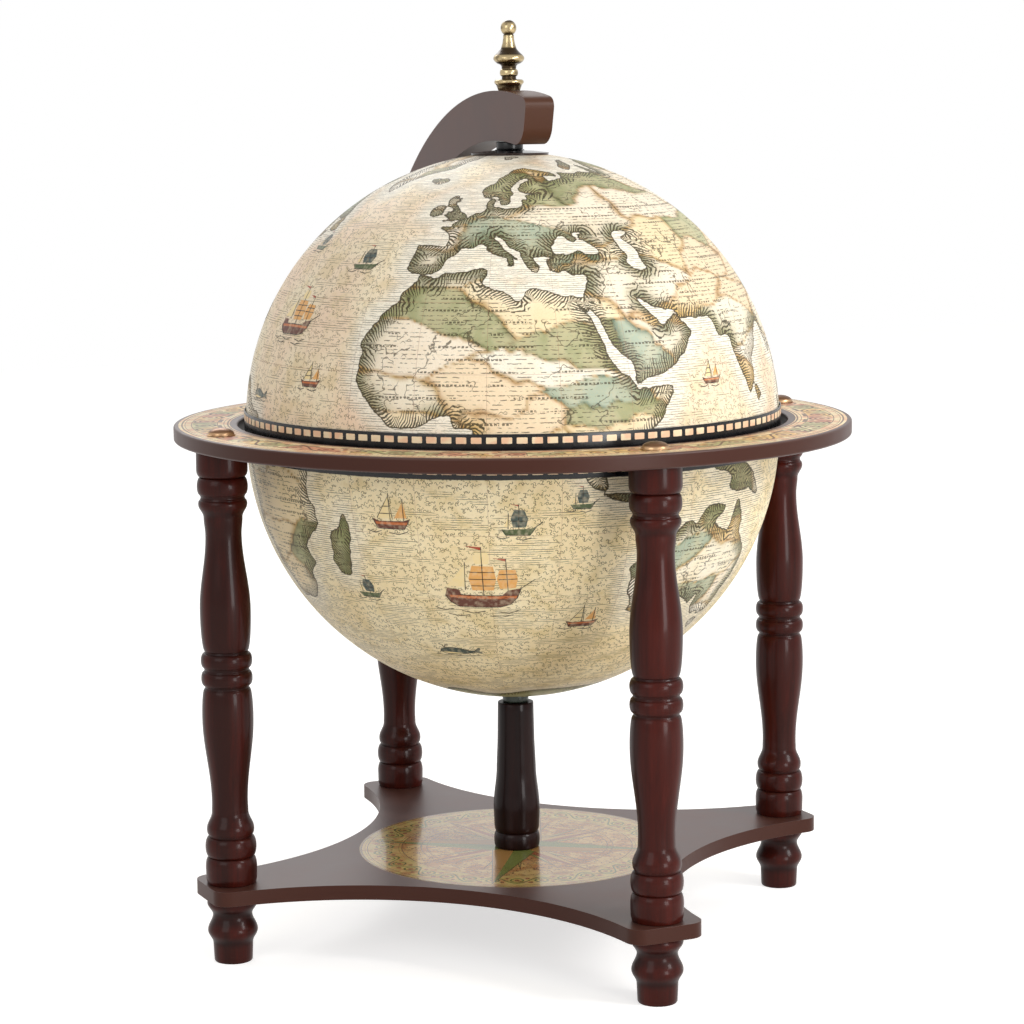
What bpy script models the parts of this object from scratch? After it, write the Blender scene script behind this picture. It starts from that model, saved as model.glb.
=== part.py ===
import bpy
import bmesh
from math import asin, atan2, cos, pi, radians, sin, sqrt, tan
from mathutils import Matrix, Vector

# Every size is in metres. The floor is at zero height, and the globe's axis is the Z axis.

# The globe's two halves
globe_radius = 0.165
shell_thickness = 0.004
rim_height = 0.0031
rim_gap = 0.0008
band_height = 0.0127
band_thickness = 0.0007

# The horizon ring
ring_clearance = 0.005
ring_margin = 0.007
ring_thickness = 0.009
ring_edge_radius = 0.0012
ring_lip = 0.005
ring_border = 0.0025
print_thickness = 0.0002

# The legs, the feet and the shelf
leg_inset = 0.0185
leg_length = 0.2635
leg_radius = 0.0155
foot_height = 0.0395
foot_radius = 0.0152
shelf_thickness = 0.009
shelf_edge_radius = 0.001
lobe_width = 0.047
lobe_corner_radius = 0.007
shelf_print_margin = 0.0105

# The column under the bowl
column_radius = 0.0146
collar_radius = 0.0082
collar_height = 0.0055

# The half meridian and what it carries
arm_gap = 0.0072
arm_depth = 0.0303
arm_width = 0.019
arm_edge_radius = 0.0016
arm_corner_radius = 0.0055
arm_overhang_angle = radians(12.8)
plate_radius = 0.024
plate_thickness = 0.0012
finial_height = 0.0423
finial_radius = 0.0095
finial_bore_depth = 0.0135

# The hinge
leaf_length = 0.022
leaf_thickness = 0.0012
leaf_width = 0.018
knuckle_length = 0.0076
barrel_radius = 0.0026
pin_radius = 0.0012
leaf_recess = 0.0017
leaf_screw_radius = 0.0011
leaf_screw_head_radius = 0.0022
leaf_screw_length = 0.0072
leaf_screw_setback = 0.0085
leaf_screw_spread = 0.0062

# Bolts, studs, screws and their covers
bolt_radius = 0.0025
bolt_head_radius = 0.0055
bolt_head_height = 0.0035
bolt_tail = 0.003
nut_radius = 0.0047
nut_height = 0.004
washer_radius = 0.007
washer_thickness = 0.001
stud_radius = 0.003
stud_depth = 0.022
leg_screw_radius = 0.002
leg_screw_depth = 0.028
leg_screw_head_radius = 0.004
leg_screw_head_height = 0.0022
cap_radius = 0.0086
cap_height = 0.0045
cap_wall = 0.0008

# The bar inside the bowl
board_thickness = 0.006
bottle_floor_rise = 0.027
glass_floor_rise = 0.0675
glass_well_depth = 0.036
bottle_hole_radius = 0.043
glass_web = 0.027
glass_rim = 0.021

# Clearances: a seat, a rod in its bore, and how far a cutter runs past a face
seat_gap = 0.0003
rod_clearance = 0.0003
overrun = 0.002
merge_distance = 0.00001

# Counts
glass_count = 6
globe_segments = 36
globe_steps = 9
wall_steps = 7
turning_segments = 12
rod_segments = 8
hole_segments = 8
shelf_arc_steps = 10
arm_arc_steps = 16
corner_steps = 3

# Turned outlines, from the top down: height share, radius share, form of the span above, steps in it
leg_shares = [
    (1.000, 0.905, "line", 1),
    (0.946, 0.905, "line", 1),
    (0.935, 0.826, "bead", 2),
    (0.915, 0.961, "bead", 2),
    (0.893, 0.826, "bead", 2),
    (0.875, 0.942, "bead", 2),
    (0.800, 0.695, "swell", 2),
    (0.602, 0.968, "swell", 3),
    (0.547, 0.850, "swell", 2),
    (0.520, 0.968, "bead", 2),
    (0.495, 0.839, "bead", 2),
    (0.476, 0.968, "bead", 2),
    (0.450, 0.850, "bead", 2),
    (0.374, 0.994, "swell", 2),
    (0.190, 0.690, "swell", 3),
    (0.160, 0.700, "line", 1),
    (0.125, 0.916, "bead", 1),
    (0.103, 0.840, "swell", 1),
    (0.078, 0.981, "bead", 2),
    (0.055, 0.839, "bead", 2),
    (0.032, 1.000, "bead", 2),
    (0.000, 0.981, "line", 1),
]
foot_shares = [
    (1.000, 0.900, "line", 1),
    (0.920, 1.000, "bead", 2),
    (0.660, 0.783, "swell", 3),
    (0.420, 0.987, "swell", 2),
    (0.210, 0.785, "swell", 2),
    (0.000, 0.763, "line", 1),
]
column_shares = [
    (1.000, 0.770, "line", 1),
    (0.730, 0.800, "line", 1),
    (0.560, 0.850, "line", 1),
    (0.270, 1.000, "swell", 3),
    (0.160, 0.975, "line", 1),
    (0.108, 0.880, "bead", 1),
    (0.055, 0.990, "bead", 2),
    (0.000, 0.930, "bead", 1),
]
finial_shares = [
    (0.915, 0.500, "bead", 2),
    (0.820, 0.290, "line", 1),
    (0.760, 0.350, "line", 1),
    (0.660, 0.450, "line", 1),
    (0.560, 0.590, "line", 1),
    (0.490, 0.780, "line", 1),
    (0.435, 1.000, "line", 1),
    (0.385, 0.890, "line", 1),
    (0.365, 0.500, "line", 1),
    (0.300, 0.495, "line", 1),
    (0.267, 0.600, "line", 1),
    (0.232, 0.495, "line", 1),
    (0.170, 0.500, "line", 1),
    (0.150, 0.940, "line", 1),
    (0.110, 0.947, "line", 1),
    (0.080, 0.800, "line", 1),
    (0.000, 0.695, "line", 1),
]

# Heights above the floor
shelf_bottom = foot_height
shelf_top = shelf_bottom + shelf_thickness
ring_bottom = shelf_top + leg_length
ring_top = ring_bottom + ring_thickness
parting_height = ring_bottom + ring_thickness / 2
dome_center_height = parting_height + rim_gap / 2 + rim_height
bowl_center_height = parting_height - rim_gap / 2 - rim_height

# Radii and places that follow from the globe
inner_radius = globe_radius - shell_thickness
ring_hole_radius = globe_radius + ring_clearance
arm_inner_radius = globe_radius + arm_gap
arm_outer_radius = arm_inner_radius + arm_depth
ring_radius = arm_outer_radius + ring_margin
leg_circle_radius = ring_radius - leg_inset
leaf_plane = arm_outer_radius - leaf_recess
pin_place = Vector((0, leaf_plane + seat_gap + barrel_radius, ring_top + seat_gap + barrel_radius))
arm_foot_height = ring_top + 2 * seat_gap + leaf_thickness
dome_center = Vector((0, 0, dome_center_height))
leg_angles = {"front": -pi / 2, "right": 0, "back": pi / 2, "left": pi}

# Colours, linear
mahogany = (0.035, 0.010, 0.009, 1)
dark_mahogany = (0.018, 0.008, 0.007, 1)
brown_board = (0.070, 0.026, 0.020, 1)
map_cream = (0.760, 0.650, 0.430, 1)
print_tan = (0.640, 0.450, 0.290, 1)
band_black = (0.010, 0.010, 0.012, 1)
antique_brass = (0.300, 0.200, 0.070, 1)
steel_grey = (0.420, 0.420, 0.430, 1)
board_brown = (0.160, 0.070, 0.035, 1)


def clear_scene():
    for old_object in list(bpy.data.objects):
        bpy.data.objects.remove(old_object, do_unlink=True)


def new_collection(name):
    collection = bpy.data.collections.new(name)
    bpy.context.scene.collection.children.link(collection)
    return collection


def new_material(name, color, roughness, metallic):
    material = bpy.data.materials.new(name)
    material.use_nodes = True
    shader = material.node_tree.nodes["Principled BSDF"]
    shader.inputs["Base Color"].default_value = color
    shader.inputs["Roughness"].default_value = roughness
    shader.inputs["Metallic"].default_value = metallic
    material.diffuse_color = color
    return material


def new_axis(name, place, parent=None):
    axis = bpy.data.objects.new(name, None)
    axis.empty_display_size = leg_radius
    parts.objects.link(axis)
    put(axis, place, parent)
    return axis


def put(piece, place, parent=None):
    """Puts a piece at a world place, under a parent that is not turned."""
    piece.parent = parent
    piece.location = Vector(place)
    while parent:
        piece.location -= parent.location
        parent = parent.parent


def add_piece(name, mesh, finish, place=(0, 0, 0), parent=None, turn=(0, 0, 0)):
    color, roughness, metallic = finish
    mesh.materials.clear()
    mesh.materials.append(new_material(name, color, roughness, metallic))
    mesh.shade_smooth()
    mesh.set_sharp_from_angle(angle=radians(35))
    piece = bpy.data.objects.new(name, mesh)
    parts.objects.link(piece)
    piece.rotation_euler = turn
    put(piece, place, parent)
    return piece


def evaluated_mesh(source):
    """The mesh of an object with its modifiers or its curve evaluated. The object itself goes."""
    bpy.context.view_layer.update()
    graph = bpy.context.evaluated_depsgraph_get()
    mesh = bpy.data.meshes.new_from_object(source.evaluated_get(graph))
    bpy.data.objects.remove(source)
    shape = bmesh.new()
    shape.from_mesh(mesh)
    bmesh.ops.remove_doubles(shape, verts=shape.verts, dist=merge_distance)
    shape.to_mesh(mesh)
    shape.free()
    return mesh


def turned_mesh(profile, segments, closed=False):
    """Turns a profile of (radius, height) points that runs down its outer side about the Z axis."""
    mesh = bpy.data.meshes.new("profile")
    points = [(radius, 0, height) for radius, height in profile]
    edges = [(index, index + 1) for index in range(len(points) - 1)]
    if closed:
        edges.append((len(points) - 1, 0))
    mesh.from_pydata(points, edges, [])
    source = bpy.data.objects.new("profile", mesh)
    guides.objects.link(source)
    screw = source.modifiers.new("turn", "SCREW")
    screw.steps = segments
    screw.render_steps = segments
    screw.use_merge_vertices = True
    screw.merge_threshold = merge_distance
    return evaluated_mesh(source)


def outline_mesh(outlines, thickness):
    """A flat plate in the XY plane, centred on it. Outlines after the first are its holes."""
    curve = bpy.data.curves.new("outline", "CURVE")
    curve.dimensions = "2D"
    curve.fill_mode = "BOTH"
    curve.extrude = thickness / 2
    for outline in outlines:
        spline = curve.splines.new("POLY")
        spline.points.add(len(outline) - 1)
        for point, (x, y) in zip(spline.points, outline):
            point.co = (x, y, 0, 1)
        spline.use_cyclic_u = True
    source = bpy.data.objects.new("outline", curve)
    guides.objects.link(source)
    return evaluated_mesh(source)


def copies_mesh(mesh, matrices):
    """One mesh that holds a separate copy of a shape at each matrix."""
    shape = bmesh.new()
    for matrix in matrices:
        copy = mesh.copy()
        copy.transform(matrix)
        shape.from_mesh(copy)
    joined = bpy.data.meshes.new("copies")
    shape.to_mesh(joined)
    shape.free()
    return joined


def cylinder_mesh(radius, bottom, top, segments):
    return turned_mesh([(0, top), (radius, top), (radius, bottom), (0, bottom)], segments)


def tube_mesh(inner, outer, bottom, top, segments):
    profile = [(inner, top), (outer, top), (outer, bottom), (inner, bottom)]
    return turned_mesh(profile, segments, closed=True)


def box_mesh(low, high):
    shape = bmesh.new()
    bmesh.ops.create_cube(shape, size=1)
    size = Vector(high) - Vector(low)
    middle = (Vector(high) + Vector(low)) / 2
    bmesh.ops.scale(shape, vec=size, verts=shape.verts)
    bmesh.ops.translate(shape, vec=middle, verts=shape.verts)
    mesh = bpy.data.meshes.new("box")
    shape.to_mesh(mesh)
    shape.free()
    return mesh


def cut(piece, mesh, matrices=None):
    """Cuts a shape, or a copy of it at each matrix, out of a piece. The shape is in world places."""
    if matrices:
        mesh = copies_mesh(mesh, matrices)
    cutter = bpy.data.objects.new(piece.name + "_cutter", mesh)
    guides.objects.link(cutter)
    cutter.hide_render = True
    cutter.display_type = "WIRE"
    modifier = piece.modifiers.new("cut", "BOOLEAN")
    modifier.operation = "DIFFERENCE"
    modifier.solver = "EXACT"
    modifier.object = cutter


def round_edges(piece, radius, segments):
    bevel = piece.modifiers.new("round", "BEVEL")
    bevel.width = radius
    bevel.segments = segments
    bevel.limit_method = "ANGLE"
    bevel.angle_limit = radians(50)


def bore_radius(rod, segments=hole_segments):
    """The corner radius of a faceted bore whose flats clear a rod."""
    return (rod + rod_clearance) / cos(pi / segments)


def arc(center, radius, start, end, steps):
    """Points on an arc of the XY plane, with both of its ends."""
    angles = [start + (end - start) * step / steps for step in range(steps + 1)]
    return [(center[0] + radius * cos(angle), center[1] + radius * sin(angle)) for angle in angles]


def circle(center, radius, segments):
    return arc(center, radius, 0, 2 * pi, segments)[:-1]


def fillet(before, corner, after, radius, steps):
    """Points that round a corner of an outline, tangent to the two lines that meet there."""
    corner = Vector(corner)
    first = (Vector(before) - corner).normalized()
    second = (Vector(after) - corner).normalized()
    half = first.angle(second) / 2
    tangent = radius / tan(half)
    center = corner + (first + second).normalized() * radius / sin(half)
    start = corner + first * tangent - center
    end = corner + second * tangent - center
    start_angle = atan2(start.y, start.x)
    sweep = atan2(start.cross(end), start.dot(end))
    return arc(center, radius, start_angle, start_angle + sweep, steps)


def turned_outline(shares, height, radius):
    """The outer side of a turned piece, as (radius, height) points from the top down.

    A swell runs in a smooth wave from one radius to the next. A bead is a quarter of an
    ellipse, which leaves a sharp groove at its narrow end.
    """
    points = []
    for height_share, radius_share, form, steps in shares:
        end = Vector((radius_share * radius, height_share * height))
        if not points:
            points.append(tuple(end))
            continue
        start = Vector(points[-1])
        for step in range(1, steps + 1):
            turn = pi / 2 * step / steps
            across = along = step / steps
            if form == "swell":
                across = (1 - cos(2 * turn)) / 2
            if form == "bead" and end.x > start.x:
                across, along = sin(turn), 1 - cos(turn)
            if form == "bead" and end.x <= start.x:
                across, along = 1 - cos(turn), sin(turn)
            points.append((start.x + (end.x - start.x) * across, start.y + (end.y - start.y) * along))
    return points


def sphere_profile(radius, bore, steps, upward):
    """A quarter circle from the edge of a bore at the pole to the equator, about the origin."""
    start = asin(bore / radius)
    points = arc((0, 0), radius, pi / 2 - start, 0, steps)
    if upward:
        return points
    return [(x, -y) for x, y in reversed(points)]


def wall_radius(depth):
    """The radius of a half's faceted inner wall at a distance along the axis from its centre."""
    wall = sphere_profile(inner_radius, bolt_bore, wall_steps, upward=True)
    for upper, lower in zip(wall, wall[1:]):
        if lower[1] <= depth <= upper[1]:
            share = (upper[1] - depth) / (upper[1] - lower[1])
            return upper[0] + (lower[0] - upper[0]) * share
    return bolt_bore


def wall_depth(radius):
    """The distance along the axis from a half's centre to its faceted inner wall at a radius."""
    upper, lower = sphere_profile(inner_radius, bolt_bore, wall_steps, upward=True)[:2]
    share = (radius - upper[0]) / (lower[0] - upper[0])
    return upper[1] + (lower[1] - upper[1]) * share


def at_legs(height=0):
    """A matrix for each leg, on its place at a height. A quarter of a facet keeps cuts off the ring's edges."""
    twist = Matrix.Rotation(pi / 2 / hole_segments, 4, "Z")
    places = []
    for angle in leg_angles.values():
        spoke = Vector((cos(angle), sin(angle), 0)) * leg_circle_radius
        places.append(Matrix.Translation(spoke + Vector((0, 0, height))) @ twist)
    return places


def build_ring():
    edge = ring_edge_radius
    top = ring_thickness
    recess = print_thickness + seat_gap
    print_inner = ring_hole_radius + ring_lip
    print_outer = ring_radius - ring_border
    profile = [
        (ring_hole_radius, top),
        (print_inner - seat_gap, top),
        (print_inner - seat_gap, top - recess),
        (print_outer + seat_gap, top - recess),
        (print_outer + seat_gap, top),
        (ring_radius - edge, top),
        (ring_radius, top - edge),
        (ring_radius, edge),
        (ring_radius - edge, 0),
        (ring_hole_radius, 0),
    ]
    place = (0, 0, ring_bottom)
    ring = add_piece("horizon_ring", turned_mesh(profile, globe_segments, closed=True),
                     (brown_board, 0.35, 0), place, stand)
    sheet = tube_mesh(print_inner, print_outer, 0, print_thickness, globe_segments)
    sheet_place = (0, 0, ring_top - print_thickness)
    ring_print = add_piece("ring_print", sheet, (print_tan, 0.3, 0), sheet_place, stand)

    head_bore = bore_radius(leg_screw_head_radius)
    rod_bore = bore_radius(leg_screw_radius)
    sunk_bore = [
        (0, overrun),
        (head_bore, overrun),
        (head_bore, -screw_sink),
        (rod_bore, -screw_sink),
        (rod_bore, -ring_thickness - overrun),
        (0, -ring_thickness - overrun),
    ]
    leaf_bore = cylinder_mesh(bore_radius(leaf_screw_radius), -leaf_screw_length, overrun, hole_segments)
    for piece in (ring, ring_print):
        cut(piece, turned_mesh(sunk_bore, hole_segments), at_legs(ring_top))
        cut(piece, leaf_bore, leaf_screw_places(on_arm=False))


def build_leg(name, angle):
    place = Vector((cos(angle), sin(angle), 0)) * leg_circle_radius
    length = leg_length - 2 * seat_gap
    screw_bore = bore_radius(leg_screw_radius, turning_segments)
    stud_bore = bore_radius(stud_radius, turning_segments)
    screw_floor = length - leg_screw_depth - seat_gap
    stud_roof = stud_depth + seat_gap
    profile = [(0, screw_floor), (screw_bore, screw_floor), (screw_bore, length)]
    profile += turned_outline(leg_shares, length, leg_radius)
    profile += [(stud_bore, 0), (stud_bore, stud_roof), (0, stud_roof)]
    place.z = shelf_top + seat_gap
    add_piece("leg_" + name, turned_mesh(profile, turning_segments), (mahogany, 0.22, 0), place, stand)

    height = foot_height - seat_gap
    stud_floor = height - stud_depth - seat_gap
    profile = [(0, stud_floor), (stud_bore, stud_floor), (stud_bore, height)]
    profile += turned_outline(foot_shares, height, foot_radius)
    profile.append((0, 0))
    place.z = 0
    add_piece("foot_" + name, turned_mesh(profile, turning_segments), (mahogany, 0.22, 0), place, stand)


def build_leg_fasteners(name, angle):
    place = Vector((cos(angle), sin(angle), 0)) * leg_circle_radius
    stud = cylinder_mesh(stud_radius, shelf_bottom - stud_depth, shelf_top + stud_depth, rod_segments)
    add_piece("foot_stud_" + name, stud, (steel_grey, 0.35, 1), place, stand)

    head_bottom = ring_top - screw_sink + seat_gap
    head_top = head_bottom + leg_screw_head_height
    profile = [
        (0, head_top),
        (leg_screw_head_radius, head_top),
        (leg_screw_head_radius, head_bottom),
        (leg_screw_radius, head_bottom),
        (leg_screw_radius, ring_bottom - leg_screw_depth),
        (0, ring_bottom - leg_screw_depth),
    ]
    add_piece("leg_screw_" + name, turned_mesh(profile, rod_segments), (steel_grey, 0.35, 1), place, stand)


def build_screw_cap(name, angle):
    place = Vector((cos(angle), sin(angle), 0)) * leg_circle_radius
    place.z = ring_top + seat_gap
    inside_radius = cap_radius - cap_wall
    inside_height = cap_height - cap_wall
    steps = 3
    outside = arc((0, 0), 1, pi / 2, 0, steps)
    profile = [(x * cap_radius, y * cap_height) for x, y in outside]
    profile += [(x * inside_radius, y * inside_height) for x, y in reversed(outside)]
    add_piece("screw_cap_" + name, turned_mesh(profile, turning_segments), (antique_brass, 0.3, 1), place, stand)


def build_shelf():
    reach = ring_radius
    cut_radius = reach - lobe_width / 2
    waist = sqrt(2) * reach - cut_radius
    end_angle = asin(lobe_corner_radius / cut_radius)
    outline = []
    for quarter in range(4):
        turn = Matrix.Rotation(quarter * pi / 2, 2)
        sweep = arc((reach, reach), cut_radius, -pi / 2 - end_angle, -pi + end_angle, shelf_arc_steps)
        tip = (reach, lobe_width / 2)
        corner = fillet((reach, 0), tip, sweep[0], lobe_corner_radius, corner_steps)
        mirrored = [(y, x) for x, y in reversed(corner)]
        outline += [tuple(turn @ Vector(point)) for point in corner + sweep[1:-1] + mirrored]
    shelf = add_piece("shelf", outline_mesh([outline], shelf_thickness), (brown_board, 0.35, 0),
                      (0, 0, shelf_bottom + shelf_thickness / 2), stand)
    round_edges(shelf, shelf_edge_radius, 1)

    print_radius = waist - shelf_print_margin
    recess = print_thickness + seat_gap
    recess_radius = print_radius + seat_gap
    cut(shelf, cylinder_mesh(recess_radius, shelf_top - recess, shelf_top + overrun, globe_segments))
    cut(shelf, cylinder_mesh(bolt_bore, shelf_bottom - overrun, shelf_top + overrun, hole_segments))
    stud_hole = cylinder_mesh(bore_radius(stud_radius), -overrun, shelf_thickness + overrun, hole_segments)
    cut(shelf, stud_hole, at_legs(shelf_bottom))
    sheet = tube_mesh(bolt_bore, print_radius, 0, print_thickness, globe_segments)
    add_piece("shelf_print", sheet, (print_tan, 0.3, 0), (0, 0, shelf_top - print_thickness), stand)


def build_column():
    bottom = shelf_top + seat_gap
    collar_top = bowl_center_height - globe_radius - seat_gap
    collar_bottom = collar_top - collar_height
    height = collar_bottom - seat_gap - bottom
    profile = turned_outline(column_shares, height, column_radius)
    profile += [(bolt_bore, 0), (bolt_bore, height)]
    column = turned_mesh(profile, turning_segments, closed=True)
    add_piece("column", column, (dark_mahogany, 0.25, 0), (0, 0, bottom), stand)
    collar = tube_mesh(bolt_bore, collar_radius, 0, collar_height, turning_segments)
    add_piece("column_collar", collar, (band_black, 0.4, 0), (0, 0, collar_bottom), stand)

    washer_bottom = bowl_center_height - wall_depth(washer_radius) + seat_gap
    nut_bottom = washer_bottom + washer_thickness + seat_gap
    bolt_top = nut_bottom + nut_height + bolt_tail
    head_top = shelf_bottom - seat_gap
    head_bottom = head_top - bolt_head_height
    profile = [
        (0, bolt_top),
        (bolt_radius, bolt_top),
        (bolt_radius, head_top),
        (bolt_head_radius, head_top),
        (bolt_head_radius, head_bottom),
        (0, head_bottom),
    ]
    add_piece("column_bolt", turned_mesh(profile, rod_segments), (steel_grey, 0.35, 1), (0, 0, 0), stand)
    washer = tube_mesh(bolt_bore, washer_radius, 0, washer_thickness, rod_segments)
    add_piece("bowl_washer", washer, (steel_grey, 0.35, 1), (0, 0, washer_bottom), stand)
    nut = tube_mesh(bore_radius(bolt_radius, 6), nut_radius, 0, nut_height, 6)
    add_piece("bowl_nut", nut, (steel_grey, 0.35, 1), (0, 0, nut_bottom), stand)


def build_bowl():
    outer = sphere_profile(globe_radius, bolt_bore, globe_steps, upward=False)
    inner = sphere_profile(inner_radius, bolt_bore, wall_steps, upward=False)
    profile = [(inner_radius, rim_height), (globe_radius, rim_height)] + outer + list(reversed(inner))
    bowl = turned_mesh(profile, globe_segments, closed=True)
    place = (0, 0, bowl_center_height)
    add_piece("bowl_shell", bowl, (map_cream, 0.3, 0), place, stand)
    band_inner = globe_radius + seat_gap
    band_outer = band_inner + band_thickness
    band = tube_mesh(band_inner, band_outer, rim_height - band_height, rim_height, globe_segments)
    add_piece("bowl_band", band, (band_black, 0.3, 0), place, stand)


def build_board(name, rise, radius, holes):
    """A round board, its underside at a rise above the bowl's inner floor."""
    mesh = outline_mesh([circle((0, 0), radius, globe_segments)] + holes, board_thickness)
    place = (0, 0, bowl_center_height - inner_radius + rise + board_thickness / 2)
    add_piece(name, mesh, (board_brown, 0.4, 0), place, stand)


def board_radius(rise):
    """The radius at which a board's lower edge seats on the bowl's wall."""
    return wall_radius(inner_radius - rise) - seat_gap


def build_bar():
    insert_rise = glass_floor_rise + glass_well_depth
    insert_radius = board_radius(insert_rise)
    glass_radius = (insert_radius - bottle_hole_radius - glass_rim - glass_web) / 2
    glass_circle_radius = insert_radius - glass_rim - glass_radius
    bottle_hole = circle((0, 0), bottle_hole_radius, 2 * hole_segments)
    glass_holes = []
    for index in range(glass_count):
        angle = 2 * pi * index / glass_count
        center = (glass_circle_radius * cos(angle), glass_circle_radius * sin(angle))
        glass_holes.append(circle(center, glass_radius, turning_segments))
    build_board("bar_insert", insert_rise, insert_radius, [bottle_hole] + glass_holes)
    build_board("glass_floor", glass_floor_rise, board_radius(glass_floor_rise), [bottle_hole])
    build_board("bottle_floor", bottle_floor_rise, board_radius(bottle_floor_rise), [])


def build_dome():
    outer = sphere_profile(globe_radius, bolt_bore, globe_steps, upward=True)
    inner = sphere_profile(inner_radius, bolt_bore, wall_steps, upward=True)
    profile = outer + [(globe_radius, -rim_height), (inner_radius, -rim_height)] + list(reversed(inner))
    shell = turned_mesh(profile, globe_segments, closed=True)
    add_piece("dome_shell", shell, (map_cream, 0.3, 0), dome_center, dome_axis)
    band_inner = globe_radius + seat_gap
    band_outer = band_inner + band_thickness
    band = tube_mesh(band_inner, band_outer, -rim_height, band_height - rim_height, globe_segments)
    add_piece("dome_band", band, (band_black, 0.3, 0), dome_center, dome_axis)

    under = globe_radius + seat_gap
    over = under + plate_thickness
    steps = 3
    reach = asin(plate_radius / over)
    over_start = pi / 2 - asin(bolt_bore / over)
    under_start = pi / 2 - asin(bolt_bore / under)
    profile = arc((0, 0), over, over_start, pi / 2 - reach, steps)
    profile += arc((0, 0), under, pi / 2 - reach, under_start, steps)
    plate = turned_mesh(profile, 2 * rod_segments, closed=True)
    add_piece("pole_plate", plate, (dark_mahogany, 0.4, 0), dome_center, dome_axis)


def build_arm():
    start = pi / 2 + arm_overhang_angle
    foot = arm_foot_height - dome_center_height
    outer_end = asin(sqrt(arm_outer_radius ** 2 - leaf_plane ** 2) / arm_outer_radius)
    inner_end = asin(foot / arm_inner_radius)
    outer = arc((0, 0), arm_outer_radius, start, outer_end, arm_arc_steps)
    inner = arc((0, 0), arm_inner_radius, inner_end, start, arm_arc_steps)
    outer_corner = fillet(inner[-1], outer[0], outer[1], arm_corner_radius, corner_steps)
    inner_corner = fillet(inner[-2], inner[-1], outer[0], arm_corner_radius, corner_steps)
    outline = outer_corner + outer[1:] + [(leaf_plane, foot)] + inner[:-1] + inner_corner
    turn = (pi / 2, 0, pi / 2)
    arm = add_piece("arm", outline_mesh([outline], arm_width), (brown_board, 0.35, 0), dome_center, lid_axis, turn)
    round_edges(arm, arm_edge_radius, 2)
    bore_bottom = dome_center_height + arm_inner_radius - overrun
    bore_top = dome_center_height + arm_outer_radius + overrun
    cut(arm, cylinder_mesh(bolt_bore, bore_bottom, bore_top, hole_segments))
    screw_bore = cylinder_mesh(bore_radius(leaf_screw_radius), -leaf_screw_length, overrun, hole_segments)
    cut(arm, screw_bore, leaf_screw_places(on_arm=True))


def build_pole():
    plate_top = globe_radius + seat_gap + plate_thickness
    facet_angle = (pi / 2 + arm_overhang_angle) / arm_arc_steps
    arm_underside = arm_inner_radius * cos(facet_angle / 2)
    arm_drop = arm_underside - sqrt(arm_underside ** 2 - collar_radius ** 2)
    collar_bottom = plate_top + seat_gap
    collar_top = arm_underside - arm_drop - seat_gap
    collar = tube_mesh(bolt_bore, collar_radius, collar_bottom, collar_top, turning_segments)
    add_piece("pole_collar", collar, (band_black, 0.4, 0), dome_center, lid_axis)

    washer_top = wall_depth(washer_radius) - seat_gap
    nut_top = washer_top - washer_thickness - seat_gap
    washer = tube_mesh(bolt_bore, washer_radius, washer_top - washer_thickness, washer_top, rod_segments)
    add_piece("pole_washer", washer, (steel_grey, 0.35, 1), dome_center, lid_axis)
    nut = tube_mesh(bore_radius(bolt_radius, 6), nut_radius, nut_top - nut_height, nut_top, 6)
    add_piece("pole_nut", nut, (steel_grey, 0.35, 1), dome_center, lid_axis)

    finial_bottom = arm_outer_radius + seat_gap
    bolt_top = finial_bottom + finial_bore_depth - seat_gap
    bolt = cylinder_mesh(bolt_radius, nut_top - nut_height - bolt_tail, bolt_top, rod_segments)
    add_piece("pole_bolt", bolt, (steel_grey, 0.35, 1), dome_center, lid_axis)

    ball_radius = finial_shares[0][1] * finial_radius
    profile = [(0, finial_height)]
    crown = finial_height - finial_shares[0][0] * finial_height
    for angle in (radians(35), radians(65)):
        profile.append((ball_radius * sin(angle), finial_height - crown * (1 - cos(angle))))
    profile += turned_outline(finial_shares, finial_height, finial_radius)
    profile += [(bolt_bore, 0), (bolt_bore, finial_bore_depth), (0, finial_bore_depth)]
    finial = turned_mesh(profile, turning_segments)
    finial_place = dome_center + Vector((0, 0, finial_bottom))
    add_piece("finial", finial, (antique_brass, 0.25, 1), finial_place, lid_axis)


def leaf_screw_places(on_arm):
    """A matrix for each screw of a leaf, with its Z axis out of the leaf's outer face."""
    matrices = []
    for side in (-1, 1):
        across = side * leaf_screw_spread
        if on_arm:
            place = Vector((across, leaf_plane, pin_place.z + leaf_screw_setback))
            matrices.append(Matrix.Translation(place) @ Matrix.Rotation(-pi / 2, 4, "X"))
        else:
            place = Vector((across, pin_place.y - leaf_screw_setback, ring_top))
            matrices.append(Matrix.Translation(place))
    return matrices


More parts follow.
